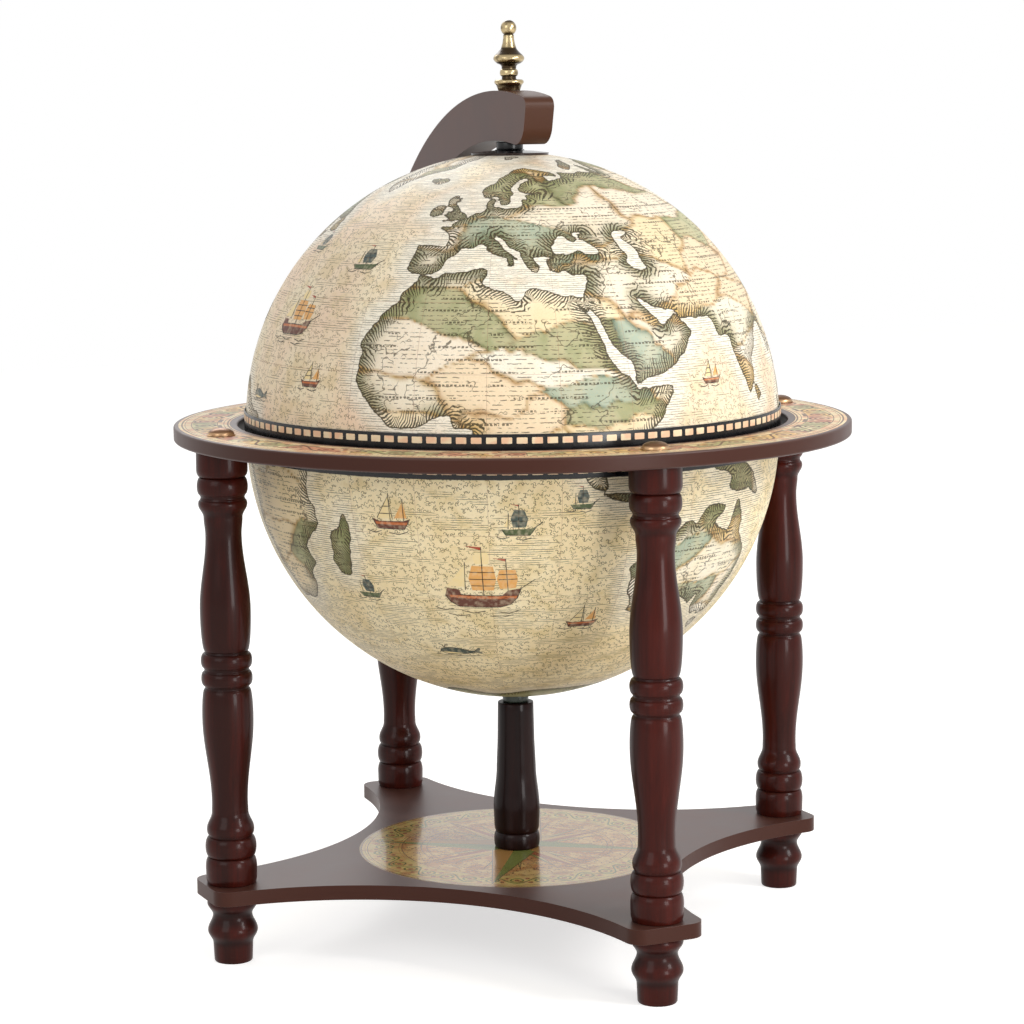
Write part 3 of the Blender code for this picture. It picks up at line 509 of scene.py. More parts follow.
coasts = {
    "oldWorld": [
        (-5.6, 36.0), (-9, 37), (-9.5, 38.8), (-8.8, 41.5), (-9.2, 43.2), (-5.5, 43.6), (-1.6, 43.4),
        (-1.2, 45.8), (-2.4, 47.3), (-4.7, 48.4), (-1.5, 48.7), (-1.4, 49.7), (1.6, 50.9), (4, 52), (5, 53.3),
        (8, 53.8), (8.2, 57), (10.6, 57.7), (10.3, 56), (10, 54.5), (12.5, 54.4), (14.5, 54), (18.5, 54.7),
        (21, 55.5), (21.2, 57.3), (23.5, 57.2), (24, 58.8), (29.5, 59.9), (23, 59.9), (21.3, 61), (21.5, 63),
        (25.3, 65), (22, 65.8), (19, 63.2), (17.2, 61), (18.8, 59.8), (16.5, 58.2), (16, 56.3), (12.8, 55.6),
        (11.3, 58.9), (8, 58.1), (5.3, 59.3), (5, 61.8), (10, 64), (14, 67.5), (19, 70), (25.5, 71), (31, 70.2),
        (40, 67.5), (41, 66.5), (33, 66.6), (35, 64.2), (38, 64.8), (44, 66), (44, 68.5), (54, 68.4), (60, 69),
        (68, 68.5), (68, 72.5), (73, 71.5), (74, 67.5), (80, 73), (88, 75.5), (104, 77.6), (113, 74),
        (128, 72.8), (140, 72.5), (152, 71), (161, 69.6), (170, 69.9), (180, 68.8), (190, 66), (180, 65),
        (178, 62.5), (170, 60), (163, 59.5), (163, 56.5), (160, 53.5), (156.7, 51), (156, 57), (162, 61),
        (157, 61.7), (150, 59.5), (142, 59), (135.5, 54.7), (141, 53), (140.5, 48.5), (135, 44), (130.5, 42.5),
        (127.5, 40), (129.3, 36), (126.5, 34.5), (126.3, 37.5), (124.5, 40), (121.5, 39), (121.8, 40.8),
        (118, 39), (122.5, 37), (119.5, 35), (122, 31.5), (121.5, 28.5), (118.5, 24.5), (114, 22.5),
        (110.3, 20.5), (108, 21.7), (105.8, 19), (109, 13), (107, 10.3), (105, 8.7), (104.5, 10.5),
        (100.8, 13.3), (99.3, 11.5), (100.3, 8.3), (103.4, 4), (104, 1.4), (101.3, 2.8), (98.5, 8), (98.5, 13),
        (97.5, 16.6), (94.4, 16), (94, 19), (91.8, 22.5), (88.5, 21.7), (86.8, 20.5), (82.2, 16.7), (80.2, 15),
        (80, 12), (79.3, 10.2), (77.6, 8.2), (75.5, 11.5), (73.3, 16.5), (72.7, 21), (70, 21), (69, 22.5),
        (66.8, 25), (61.5, 25.2), (57.3, 25.7), (56.5, 27), (51.5, 28), (49, 30.2), (48, 29.6), (50.2, 26.5),
        (51.5, 25.2), (52.5, 24.2), (56.2, 26.2), (59.8, 22.5), (57.8, 19), (55, 17.2), (52, 15.6), (45, 12.8),
        (43.3, 12.8), (42.7, 16.5), (39.2, 21.5), (37, 25), (35, 28.2), (34.9, 29.4), (34.2, 27.8),
        (32.6, 29.9), (33.8, 27), (35.5, 24), (37.3, 21), (37.5, 18.7), (39.5, 15.4), (43, 12.2), (43.3, 11.5),
        (47, 11.2), (51.2, 11.8), (50.8, 9), (48, 4.5), (42, -1), (39.4, -5), (39.3, -8), (40.6, -11),
        (40.7, -15), (36.9, -18), (34.8, -20), (35.5, -24), (32.7, -26), (31.3, -29.5), (27.5, -33.3),
        (22, -34.1), (18.4, -34.2), (17.5, -31), (15, -26.5), (14.4, -22.5), (11.8, -17.5), (13.5, -12),
        (12.3, -6), (9, -1), (9.6, 3.8), (8.5, 4.5), (6, 4.3), (4.4, 6.3), (1, 6), (-2, 4.8), (-7.5, 4.4),
        (-11.5, 6.9), (-13.2, 9), (-16.6, 12.3), (-17.4, 14.7), (-16.3, 19), (-17, 21), (-14.8, 25.5),
        (-13, 27.8), (-9.8, 30), (-9.6, 31.5), (-6.3, 34.5), (-5.9, 35.8), (-2.5, 35.2), (1, 36.4),
        (5.5, 36.8), (10, 37.2), (11, 35.5), (10.2, 34), (15.2, 32.3), (19, 30.3), (20.2, 32.6), (23, 32.5),
        (29, 30.9), (31.5, 31.4), (34.2, 31.3), (35.8, 34.5), (36, 36.7), (33, 36.1), (30.6, 36.7), (27.3, 37),
        (26.3, 39.5), (29, 40.8), (26.5, 40.5), (23, 40.4), (24, 38), (22.8, 36.6), (21.3, 37.8), (19.4, 41),
        (19.3, 42), (15.5, 43.8), (13.7, 45.5), (12.3, 45.3), (13.6, 43.5), (18.4, 40), (16.8, 40.4), (17, 39),
        (15.8, 38), (15.5, 40), (12.3, 41.7), (10.3, 43.5), (8.8, 44.3), (6.5, 43.1), (3.2, 43), (3, 41.8),
        (0.3, 40.2), (-0.2, 38.5), (-2, 36.8)],
    "newWorld": [
        (-168, 65.6), (-166, 68.3), (-156.5, 71.3), (-141, 69.7), (-128, 70.2), (-115, 68), (-108, 68),
        (-95, 68.5), (-94, 72), (-90, 69), (-82, 69.7), (-82, 67), (-87, 64.5), (-93.5, 61), (-94.5, 58.7),
        (-88, 56.7), (-82.3, 55), (-80, 51.3), (-79, 54.8), (-77, 57.5), (-78, 62.3), (-70, 61), (-65, 58.8),
        (-61.5, 56.5), (-56, 52.5), (-60, 50.2), (-66.5, 50.2), (-64.5, 48.5), (-65, 46), (-60.5, 46.5),
        (-64, 44.5), (-67, 44.6), (-70.5, 43), (-70, 41.8), (-74, 40.5), (-76, 37), (-75.7, 35.3),
        (-81.2, 31.5), (-80.2, 26), (-81.2, 25.3), (-82.8, 28.5), (-84.3, 30), (-89.5, 30), (-94.5, 29.5),
        (-97.3, 27), (-97.8, 22.5), (-95.5, 18.7), (-91.5, 18.6), (-90.3, 21), (-87, 21.4), (-88, 17.5),
        (-88, 15.8), (-83.3, 15), (-83.6, 11), (-81.5, 9), (-79.5, 9.5), (-77, 8), (-75.5, 10.7), (-72, 12),
        (-71.5, 10.8), (-68, 10.8), (-62, 10.7), (-60, 8.5), (-57, 6), (-51.5, 4.3), (-50, 0.5), (-44, -2.6),
        (-38.5, -3.7), (-35, -6), (-35, -9), (-38.8, -13), (-39.2, -17.8), (-41, -22), (-44.5, -23),
        (-48.5, -26), (-48.8, -28.5), (-52.3, -33), (-55, -34.9), (-58.3, -34), (-57, -36.5), (-62, -38.9),
        (-62.5, -41), (-65, -41), (-64, -42.8), (-67.3, -45.8), (-65.8, -47.8), (-69, -50.5), (-68.3, -52.5),
        (-65.2, -54.8), (-69, -55.3), (-73, -53), (-75.3, -50), (-75, -46.5), (-73, -42), (-73.5, -38),
        (-71.5, -33), (-71.3, -28), (-70.3, -18.4), (-76, -14), (-79.5, -8), (-81.3, -4.7), (-80.5, -1),
        (-78.5, 1.8), (-77.3, 4), (-78, 7.5), (-80, 7.4), (-83, 8.5), (-86, 11), (-88, 13.2), (-94.5, 16.2),
        (-99, 16.7), (-105.5, 20), (-105.8, 22.5), (-109.3, 25.8), (-112.8, 30.5), (-114.8, 31.7),
        (-111, 25.5), (-109.6, 23), (-112, 25), (-115, 29), (-117.3, 33), (-120.5, 34.5), (-122.5, 37.5),
        (-124.3, 40.5), (-124, 46), (-123, 49), (-128, 51.5), (-133.5, 56.5), (-139.5, 59.7), (-146, 60.8),
        (-151.5, 59.3), (-158, 56.5), (-163.5, 54.8), (-158.5, 58.3), (-165.5, 61.5), (-161, 64.3)],
    "southLand": [
        (-60, -63.5), (-45, -76), (-20, -73), (0, -70), (20, -70), (40, -69), (55, -66), (75, -69.5),
        (95, -66.3), (115, -66.5), (135, -66), (155, -69), (170, -72), (182, -77), (200, -77), (215, -75),
        (240, -74), (260, -73), (285, -73), (293, -68), (300, -63.5), (300, -90), (-60, -90)],
    "australia": [
        (113.8, -22.5), (113.5, -26), (115.7, -31.5), (115.2, -34.2), (118, -35), (123.5, -34), (131, -31.6),
        (135.5, -34.8), (138, -33.2), (138.5, -35.6), (141, -38.2), (144.5, -38.3), (146.5, -39), (150, -37.5),
        (151.5, -33), (153.5, -28.5), (153, -25), (149.5, -21.5), (146, -18.8), (145.3, -15), (142.5, -10.8),
        (141.5, -13), (140.8, -17.4), (139, -17.4), (135.5, -15), (136.8, -12.2), (132.5, -11.3), (130, -13),
        (129, -15), (126, -14), (122.3, -17.5), (119, -20)],
    "britain": [
        (-5.4, 50.1), (-3.5, 50.3), (1.2, 51.1), (1.6, 52.7), (0.2, 53), (-1.4, 54.8), (-3, 56.2), (-1.9, 57.5),
        (-4, 57.7), (-3.2, 58.6), (-5, 58.5), (-5.8, 56.5), (-4.8, 54.8), (-3.1, 54.5), (-3.1, 53.4),
        (-4.5, 53.1), (-4.2, 52.3), (-5.2, 51.8), (-3, 51.4)],
    "ireland": [(-6.2, 52.3), (-9.8, 51.6), (-9.9, 54), (-8, 55), (-5.7, 54.7)],
    "iceland": [(-22.5, 64), (-18.5, 63.4), (-14, 64.8), (-15.5, 66.2), (-20.5, 65.9), (-24, 65.6)],
    "greenland": [
        (-44, 60), (-51, 63.5), (-54, 69), (-58, 75.5), (-68, 76.2), (-62, 81.5), (-33, 83.5), (-18, 80),
        (-20, 74), (-24, 70.5), (-33, 68), (-40, 64.8)],
    "svalbard": [(15, 77), (20, 78.5), (25, 80), (12, 79.8)],
    "novaya": [(52, 71), (57, 70.8), (68, 76.5), (62, 76), (54, 73.5)],
    "ceylon": [(80, 9.5), (81.8, 7.3), (80.5, 6), (79.8, 8)],
    "japan": [
        (130, 31.3), (131.8, 33.5), (135.5, 33.7), (140, 35.2), (141.8, 39.5), (145, 43.3), (141.8, 45.4),
        (140.3, 42), (139.5, 38), (136.8, 36.8), (132.5, 35.3), (130, 33.4)],
    "philippines": [
        (120.5, 18.3), (122.3, 17), (124, 13), (126.3, 8), (125.5, 6), (122, 7.2), (122.5, 10.5), (120.2, 13.5)],
    "sumatra": [(95.3, 5.6), (98, 4.3), (103.5, -1), (106, -3.5), (105.5, -5.8), (102, -4), (98.8, 1.5)],
    "java": [(105.3, -6.7), (108.5, -6.7), (114.5, -7.6), (114.3, -8.6), (108, -7.8)],
    "borneo": [
        (109.2, 1.8), (111.5, 2.5), (115, 5), (117, 7), (119, 5), (117.8, 1), (116.3, -3.5), (114.5, -4),
        (110.2, -2.8)],
    "celebes": [
        (119.5, -5.5), (118.9, -2.5), (119.8, 1), (124.8, 1.5), (121, 0), (123.3, -1), (121.8, -3),
        (122.6, -5), (120.6, -3.3), (120.4, -5.5)],
    "newGuinea": [
        (131, -0.8), (134.2, -0.8), (137.8, -1.6), (141, -2.6), (145.8, -5), (147.8, -6.2), (150.7, -10.4),
        (146, -8.7), (143, -9), (138, -8.2), (137.8, -5.2), (133, -4), (132.8, -2.5)],
    "madagascar": [
        (49.3, -12), (50.4, -15.7), (47.8, -23), (47, -25), (44.5, -25.3), (43.3, -22), (44.4, -16.3),
        (47, -15)],
    "tasmania": [(144.8, -40.8), (148.2, -41), (147, -43.6), (145.5, -42.8)],
    "newZealandNorth": [(172.8, -34.5), (175.5, -36.5), (178.3, -37.8), (175.3, -41.5), (174, -39.3)],
    "newZealandSouth": [(172.8, -40.6), (174.3, -41.8), (170.5, -46), (166.6, -46), (171, -42.5)],
    "baffin": [
        (-64.5, 63), (-61.5, 66.5), (-68, 70), (-80, 73.7), (-89, 73), (-88, 70.5), (-79, 69.8), (-72.5, 67.5),
        (-78, 64.5), (-71, 62.5)],
    "victoria": [(-116, 69), (-104, 69), (-101, 72), (-110, 73.5), (-117, 72.5)],
    "ellesmere": [(-80, 76.3), (-78, 78), (-62, 82.5), (-85, 82.3), (-93, 80)],
    "cuba": [(-84.8, 22), (-80, 23), (-74.3, 20.2), (-77.5, 19.9), (-80, 21.7)],
    "hispaniola": [(-74.3, 18.4), (-73, 19.9), (-68.5, 18.6), (-71.5, 17.8)],
    "newfoundland": [(-59, 47.8), (-56, 51.5), (-53, 47)],
}
inlandSeas = [
    [(28.5, 41.3), (31.5, 41.3), (35, 42.1), (38, 41), (41.5, 41.6), (39, 44), (37, 45.2), (39, 47),
     (35, 46.2), (36.5, 45.2), (34, 44.4), (32.7, 45.5), (30.7, 46.4), (28.7, 44.5), (27.8, 42.6)],
    [(47.5, 43), (48.5, 41.8), (49.3, 40.3), (49, 38.2), (51, 36.8), (53.9, 37.2), (53.2, 40), (52.7, 42),
     (50.3, 44.4), (53, 45.3), (52.8, 46.8), (49.5, 46.5), (47.3, 45)],
]
mapFacts = {
    "domeLongitude": 17.0,      # in the middle of the photo's view of the upper half
    "bowlLongitude": 87.0,      # the same on the lower half, which is turned to it
    "coastStep": 1.8,           # millimetres between points along a coast
    "regionCount": 230,         # over the whole globe
    # of a region: its wash and how far it covers, the line of colour inside its border, the coast's tint
    "washes": [
        ("#8b9162", 0.9, "#565c2e", "#737a44"), ("#e6cb94", 0.65, "#9c7220", "#efe4c8"),
        ("#8ba08c", 0.85, "#4b6450", "#6a7652"), ("#f1e6ce", 0.3, "#a8822e", "#787c4c"),
        ("#e6c494", 0.5, "#9c6c22", "#c6a254"), ("#ece8da", 0.6, "#98762c", "#f2ead8"),
        ("#a0a473", 0.8, "#626c38", "#8b8d58"), ("#f0dfc8", 0.4, "#a27830", "#6b744f"),
        ("#eee0bf", 0.5, "#a88434", "#b89e5a")],
    "landPaper": "#eae0cb",
    "seed": 52,
    "coastStray": [(16, 2.6), (5, 1.1)],    # soft noise: how wide it swings, and how far
    "regionStray": [(40, 12.0), (17, 5.0), (7, 1.8)],
    "regionScatter": 0.07,
    "regionWidth": 3.0,         # to its height
    "shoreTint": (0.9, 7.5),    # how strong it is, and how far it reaches
    "borderTint": (0.95, 2.4),
}


def onGlobe(longitude, latitude, radius, centre):
    azimuth = np.radians(longitude - centre + photoAzimuth)
    latitude = np.radians(latitude)
    return np.stack([radius * np.cos(latitude) * np.cos(azimuth), radius * np.cos(latitude) * np.sin(azimuth),
                     radius * np.sin(latitude)], -1)


def smoothCoast(points, radius):
    # a smooth closed line through the points, with a point every few millimetres
    points = np.array(points, float)
    count = len(points)
    line = []
    for k in range(count):
        a, b, c, d = (points[(k + shift) % count] for shift in (-1, 0, 1, 2))
        reach = radius * np.radians(np.hypot((c - b)[0] * cos(radians(b[1])), (c - b)[1]))
        steps = max(1, int(ceil(reach / mapFacts["coastStep"])))
        for step in range(steps):
            t = step / steps
            line.append(0.5 * (2 * b + (c - a) * t + (2 * a - 5 * b + 4 * c - d) * t ** 2
                               + (3 * b - a - 3 * c + d) * t ** 3))
    return np.array(line)


def insideOf(longitude, latitude, line):
    # which points lie inside a closed line, by how often it passes east of them
    inside = np.zeros(len(longitude), bool)
    for shift in (-360, 0, 360):
        west = line[:, 0].min() - shift
        east = line[:, 0].max() - shift
        near = np.flatnonzero((longitude > west) & (longitude < east) & (latitude > line[:, 1].min())
                              & (latitude < line[:, 1].max()))
        if not len(near):
            continue
        x, y = longitude[near] + shift, latitude[near]
        odd = np.zeros(len(near), bool)
        for (x0, y0), (x1, y1) in zip(line, np.roll(line, -1, 0)):
            if y0 != y1:
                odd ^= ((y0 <= y) != (y1 <= y)) & (x < x0 + (y - y0) * (x1 - x0) / (y1 - y0))
        inside[near] |= odd
    return inside


def strayed(points, swings):
    # moves points by soft noise, so that lines drawn from them look drawn by hand
    for size, reach in swings:
        points = points + reach * np.array([noise.noise_vector(p) for p in (points / size).tolist()])
    return points


def drawMap(points, radius, centre):
    # for points in millimetres about the globe's centre: the distance inland, the distance along the
    # coast, the distance from a border, and the colour wash
    noise.seed_set(mapFacts["seed"])
    moved = strayed(points, mapFacts["coastStray"])
    moved *= radius / np.linalg.norm(moved, axis=1)[:, None]
    latitude = np.degrees(np.arcsin(moved[:, 2] / radius))
    longitude = np.degrees(np.arctan2(moved[:, 1], moved[:, 0])) - photoAzimuth + centre
    longitude = (longitude + 180) % 360 - 180

    land = np.zeros(len(points), bool)
    starts, ends, lengths, before = [], [], [], []
    count, total = 0, 0.0
    for number, line in enumerate(list(coasts.values()) + inlandSeas):
        line = smoothCoast(line, radius)
        inside = insideOf(longitude, latitude, line)
        land = land & ~inside if number >= len(coasts) else land | inside
        line = line[line[:, 1] > -80]    # without what only closes the far south
        first = onGlobe(line[:, 0], line[:, 1], radius, centre)
        second = np.roll(first, -1, 0)
        reach = np.linalg.norm(second - first, axis=1)
        starts.append(first)
        ends.append(second)
        lengths.append(total + np.concatenate([[0], np.cumsum(reach)[:-1]]))
        total += reach.sum()
        before.append(np.roll(count + np.arange(len(line)), 1))
        count += len(line)
    starts, ends, lengths, before = (np.concatenate(rows) for rows in (starts, ends, lengths, before))
    lookup = KDTree(count)
    for k, place in enumerate(starts.tolist()):
        lookup.insert(place, k)
    lookup.balance()
    nearest = np.array([lookup.find(place)[1] for place in moved.tolist()])
    coast = np.full(len(points), 1e9)
    along = np.zeros(len(points))
    for segment in (nearest, before[nearest]):
        a, b = starts[segment], ends[segment]
        span = b - a
        size = np.maximum((span ** 2).sum(1), 1e-9)
        t = np.clip(((moved - a) * span).sum(1) / size, 0, 1)
        away = np.linalg.norm(moved - a - span * t[:, None], axis=1)
        closer = away < coast
        coast[closer] = away[closer]
        along[closer] = (lengths[segment] + t * np.sqrt(size))[closer]
    coast = np.where(land, coast, -coast)

    # regions: each point belongs to the nearest of some scattered seeds
    draw = np.random.default_rng(mapFacts["seed"])
    number = np.arange(mapFacts["regionCount"]) + 0.5
    height = 1 - 2 * number / mapFacts["regionCount"]
    swing = pi * (3 - sqrt(5)) * number    # by the golden angle, which spreads them evenly
    seeds = np.stack([np.sqrt(1 - height ** 2) * np.cos(swing), np.sqrt(1 - height ** 2) * np.sin(swing), height], 1)
    seeds += draw.normal(0, mapFacts["regionScatter"], seeds.shape)
    seeds *= radius / np.linalg.norm(seeds, axis=1)[:, None]
    wide = np.array([1, 1, mapFacts["regionWidth"]])
    soft, seeds = strayed(points, mapFacts["regionStray"]) * wide, seeds * wide
    away = np.sqrt(((soft[:, None, :] - seeds[None, :, :]) ** 2).sum(2))
    order = np.argpartition(away, 1, axis=1)[:, :2]
    pair = np.take_along_axis(away, order, 1)
    turn = pair[:, 0] > pair[:, 1]
    order[turn] = order[turn][:, ::-1]
    pair[turn] = pair[turn][:, ::-1]
    gap = np.linalg.norm(seeds[order[:, 0]] - seeds[order[:, 1]], axis=1)
    border = (pair[:, 1] ** 2 - pair[:, 0] ** 2) / (2 * gap)

    tone = draw.integers(0, len(mapFacts["washes"]), mapFacts["regionCount"])[order[:, 0]]
    tint, line, shore = (np.array([linear(row[k])[:3] for row in mapFacts["washes"]])[tone] for k in (0, 2, 3))
    cover = np.array([row[1] for row in mapFacts["washes"]])[tone][:, None]
    wash = np.array(linear(mapFacts["landPaper"])[:3]) * (1 - cover) + tint * cover
    for color, away, (share, reach) in ((shore, coast, mapFacts["shoreTint"]), (line, border, mapFacts["borderTint"])):
        share = (share * np.exp(-(away / reach) ** 2))[:, None]
        wash = wash * (1 - share) + color * share
    return coast, along, border, wash


inkFacts = {    # lengths in millimetres
    "curl": 5.0,            # apart
    "level": 1.4,
    "hatch": 1.9,
    "hatchReach": (5.0, 12.0),
    "dash": 2.6,
    "mark": (7.4, 2.3),     # the rows of a name apart, and its strokes
    "hill": 6.5,
    "river": 30.0,
    "parallel": 43.2,
    "ink": "#242113",
}


def curls(add, flat, pitch, shift, pen):
    # small S-shaped curls of the pen, one to a cell, each turned a little
    moved = add("VectorMath ADD", flat, (shift, shift, 0))
    cell = add("TexVoronoi 2D", {"Vector": moved, "Scale": 1 / pitch, "Randomness": 0.8}, out="Position")
    turn = add("MapRange", add("SeparateColor", cell.node.outputs["Color"]), 0, 1, -1.3, 1.3)
    spot = add("VectorRotate Z_AXIS", {"Vector": add("VectorMath SUBTRACT", moved, cell), "Angle": turn})
    y = add("SeparateXYZ", spot, out="Y")
    arches = []
    for x, radius, side in ((-0.14, 0.17, 1), (0.15, 0.12, -1)):
        away = add("VectorMath LENGTH", add("VectorMath ADD", spot, (-x * pitch, 0, 0)), out="Value")
        arches.append(whereAll(add, penLine(add, away, pen, 0.12, radius * pitch),
                               (add("Math MULTIPLY", y, side), -0.35, -0.1)))
    return whereAny(add, *arches)


def mapPaper(name, paper, pink, shade, strength, shallow):
    # paper, printed from an engraved plate, washed with colour by hand, glued on and varnished:
    # cream with brown ink, and a soft gloss
    material, add = newFinish(name, {"Specular IOR Level": 0.25, "Coat Weight": 0.06, "Coat Roughness": 0.16})
    facts = inkFacts
    coast, along, border, turn = (add("Attribute " + title, out="Fac")
                                  for title in ("coast", "along", "border", "turn"))
    flat = add("VectorMath MULTIPLY", add("UVMap gore"), (1000, 1000, 1))    # millimetres on each of twelve gores
    east = add("SeparateXYZ", flat, out="X")
    north = east.node.outputs["Y"]
    lying = add("VectorMath MULTIPLY", flat, (0.16, 1, 1))
    strokes = add("VectorMath MULTIPLY", flat, (0.45, 1, 1))
    cloud = grain(add, 46)
    blots = grain(add, 13, 3, 0.5)
    tremble = add("MapRange", grain(add, 2.4, 2), 0, 1, -0.9, 0.9)
    shore = add("Math ADD", coast, tremble)
    sheet = printOver(add, paper, pink, (cloud, 0.36, 0.64))
    sheet = printOver(add, sheet, shade, (blots, 0.45, 0.72), 0.75)

    # the sea: short curls of the pen, and level strokes off the coasts and in patches
    off = whereAny(add, (add("Math MULTIPLY_ADD", blots, 16.0, shore), -5.0, -1.0),
                   (grain(add, 9, place=lying), 0.53, 0.56))
    curl = whereAny(add, curls(add, flat, facts["curl"], 0, 0.17),
                    curls(add, flat, facts["curl"] * 0.75, 37, 0.12))
    curl = whereAll(add, curl, add("Math SUBTRACT", 1.0, whereAll(add, off, 0.7)))
    level = add("Math PINGPONG", add("Math MULTIPLY_ADD", tremble, 0.35, north), facts["level"] / 2)
    level = whereAll(add, penLine(add, level, 0.16, 0.12), (grain(add, 1.7, 2, place=lying), 0.41, 0.47), off)
    sea = printOver(add, sheet, "#f1ecdd", (shore, -16.0, -2.0), shallow)
    sea = printOver(add, sea, "#4b4029", curl, strength)
    sea = printOver(add, sea, "#453d28", level, strength)

    # the land: its wash, hatching inside the coast, dashes, names as rows of strokes, hills and rivers
    ground = printOver(add, add("Attribute wash", out="Color"), sheet, (blots, 0.35, 0.7), 0.3)
    slope = add("Math MULTIPLY_ADD", tremble, 0.45, add("Math MULTIPLY_ADD", coast, 0.6, along))
    inland = add("Math DIVIDE", shore, add("MapRange", grain(add, 9), 0.3, 0.7, *facts["hatchReach"]))
    hatch = add("Math SUBTRACT", add("Math PINGPONG", slope, facts["hatch"] / 2),
                add("MapRange", inland, 0, 1, 0.6, 0.2))
    hatch = whereAll(add, (hatch, 0.1, -0.06), (inland, 1.0, 0.86), (shore, 0.0, 0.3))
    lines = add("Math MULTIPLY_ADD", tremble, 0.45, north)
    dashes = whereAll(add, penLine(add, add("Math PINGPONG", lines, facts["dash"] / 2), 0.26, 0.14),
                      (grain(add, 1.4, place=strokes), 0.48, 0.52), (grain(add, 13, 2), 0.42, 0.48))
    pitch, gap = facts["mark"]
    names = whereAll(add, penLine(add, add("Math PINGPONG", lines, pitch / 2), 0.62, 0.14),
                     (add("Math PINGPONG", east, gap / 2), 0.32, 0.44), (grain(add, 1.3, 1), 0.36, 0.42),
                     (grain(add, 4.5, 1, place=lying), 0.5, 0.52))
    cell = add("TexVoronoi 2D", {"Vector": flat, "Scale": 1 / facts["hill"], "Randomness": 0.85}, out="Position")
    x = add("SeparateXYZ", add("VectorMath SUBTRACT", flat, cell), out="X")
    bend = add("Math MULTIPLY_ADD", add("Math MULTIPLY", x, x), 0.55, x.node.outputs["Y"])
    hills = whereAll(add, penLine(add, bend, 0.2, 0.12, 1.1), (add("Math ABSOLUTE", x), 1.7, 1.4),
                     (grain(add, 19, 1), 0.52, 0.56))
    rivers = whereAll(add, penLine(add, grain(add, facts["river"], 4), 0.005, 0.003, 0.5),
                      (grain(add, 24, 1), 0.46, 0.5))
    borders = penLine(add, border, 0.45, 0.3)
    drawn = whereAny(add, *(whereAll(add, stroke, share) for stroke, share in (
        (dashes, 0.85), (names, 0.85), (hills, 0.85), (rivers, 0.8), (borders, 0.75), (hatch, 0.94))))
    ground = printOver(add, ground, facts["ink"], drawn)
    color = printOver(add, sea, ground, (shore, -0.08, 0.08))
    color = printOver(add, color, facts["ink"], penLine(add, shore, 0.42, 0.16), 0.95)

    # meridians and parallels, 15 degrees apart
    net = whereAny(add, penLine(add, add("Math PINGPONG", turn, 7.5), 0.04, 0.04),
                   penLine(add, add("Math PINGPONG", north, facts["parallel"] / 2), 0.12, 0.1))
    color = printOver(add, color, "#8d5a48", net, 0.55)
    color = printOver(add, color, "#c9ab74", (grain(add, 0.9, 4), 0.35, 0.75), 0.2)
    return dress(material, {"Base Color": color, "Roughness": add("MapRange", blots, 0, 1, 0.46, 0.6)}, cloud, 0.05)


def liningPaper(name):
    # paper, glued inside the shell and aged: plain buff with faint folds and fibres
    material, add = newFinish(name, {"Roughness": 0.7, "IOR": 1.45})
    fibres = grain(add, 1.0, 4)
    color = printOver(add, "#d8c298", "#c3a878", (grain(add, 40, 4, 0.6), 0.35, 0.68))
    color = printOver(add, color, "#a98c5f", (fibres, 0.45, 0.8), 0.4)
    return dress(material, {"Base Color": color}, fibres, 0.02)


globeFacts = {
    "radius": 165.0,        # millimetres
    "wall": 4.0,
    "bore": 2.9,
    "rim": 3.1,             # how far each half's rim runs past its centre
    "spacing": 1.65,        # between the mesh's rows
    "counts": (48, 72, 156, 324, 624),    # points in a row, from the pole to the rim
    "thrift": 0.72,         # of the points that the spacing asks for
    "innerRows": 28,
    "innerCount": 96,
    "edge": 0.4,            # of the rim
    "blank": (-60.0, 0.0, 30.0),    # coast, along and border where no map lies
}


def buildHalf(name, node, centre, upward, longitude, materials, body):
    facts = globeFacts
    radius, rim = facts["radius"], -facts["rim"] * mm
    inner = radius - facts["wall"]
    rings = []
    start = asin(facts["bore"] / radius)
    rows = int((pi / 2 - start) * radius / facts["spacing"])
    for row in range(rows + 1):
        angle = start + (pi / 2 - start) * row / rows
        ideal = 2 * pi * radius * sin(angle) / facts["spacing"]
        count = next((c for c in facts["counts"] if c >= ideal * facts["thrift"]), facts["counts"][-1])
        rings.append((radius * sin(angle) * mm, radius * cos(angle) * mm, count))
    rings += [(radius * mm, rim + facts["edge"] * mm, count), ((radius - facts["edge"]) * mm, rim, count // 2),
              (inner * mm, rim, facts["innerCount"])]
    start = asin(facts["bore"] / inner)
    for row in range(facts["innerRows"], -1, -1):
        angle = start + (pi / 2 - start) * row / facts["innerRows"]
        rings.append((inner * sin(angle) * mm, inner * cos(angle) * mm,
                      facts["innerCount"] if angle > 0.4 else facts["innerCount"] // 2))
    mesh = ringMesh(name, rings, closed=True)
    if not upward:
        mesh.transform(Matrix.Scale(-1, 4, (0, 0, 1)))
        mesh.flip_normals()

    points = vectors(mesh.vertices, "co") / mm
    outside = np.linalg.norm(points, axis=1) > radius - 0.2
    outside &= (points[:, 2] >= -0.01) if upward else (points[:, 2] <= 0.01)
    coast, along, border = (np.full(len(points), value) for value in facts["blank"])
    wash = np.ones((len(points), 4))
    coast[outside], along[outside], border[outside], wash[outside, :3] = drawMap(points[outside], radius, longitude)
    for title, values in (("coast", coast), ("along", along), ("border", border)):
        mark(mesh, title, values)
    markColors(mesh, "wash", wash)
    layGores(mesh, points, radius)
    for face in mesh.polygons:
        face.material_index = int(face.center.length < (radius - 1.5) * mm)
    mesh.transform(Matrix.Translation(centre))
    keep(name, mesh, materials, body, "map_shell", [node])


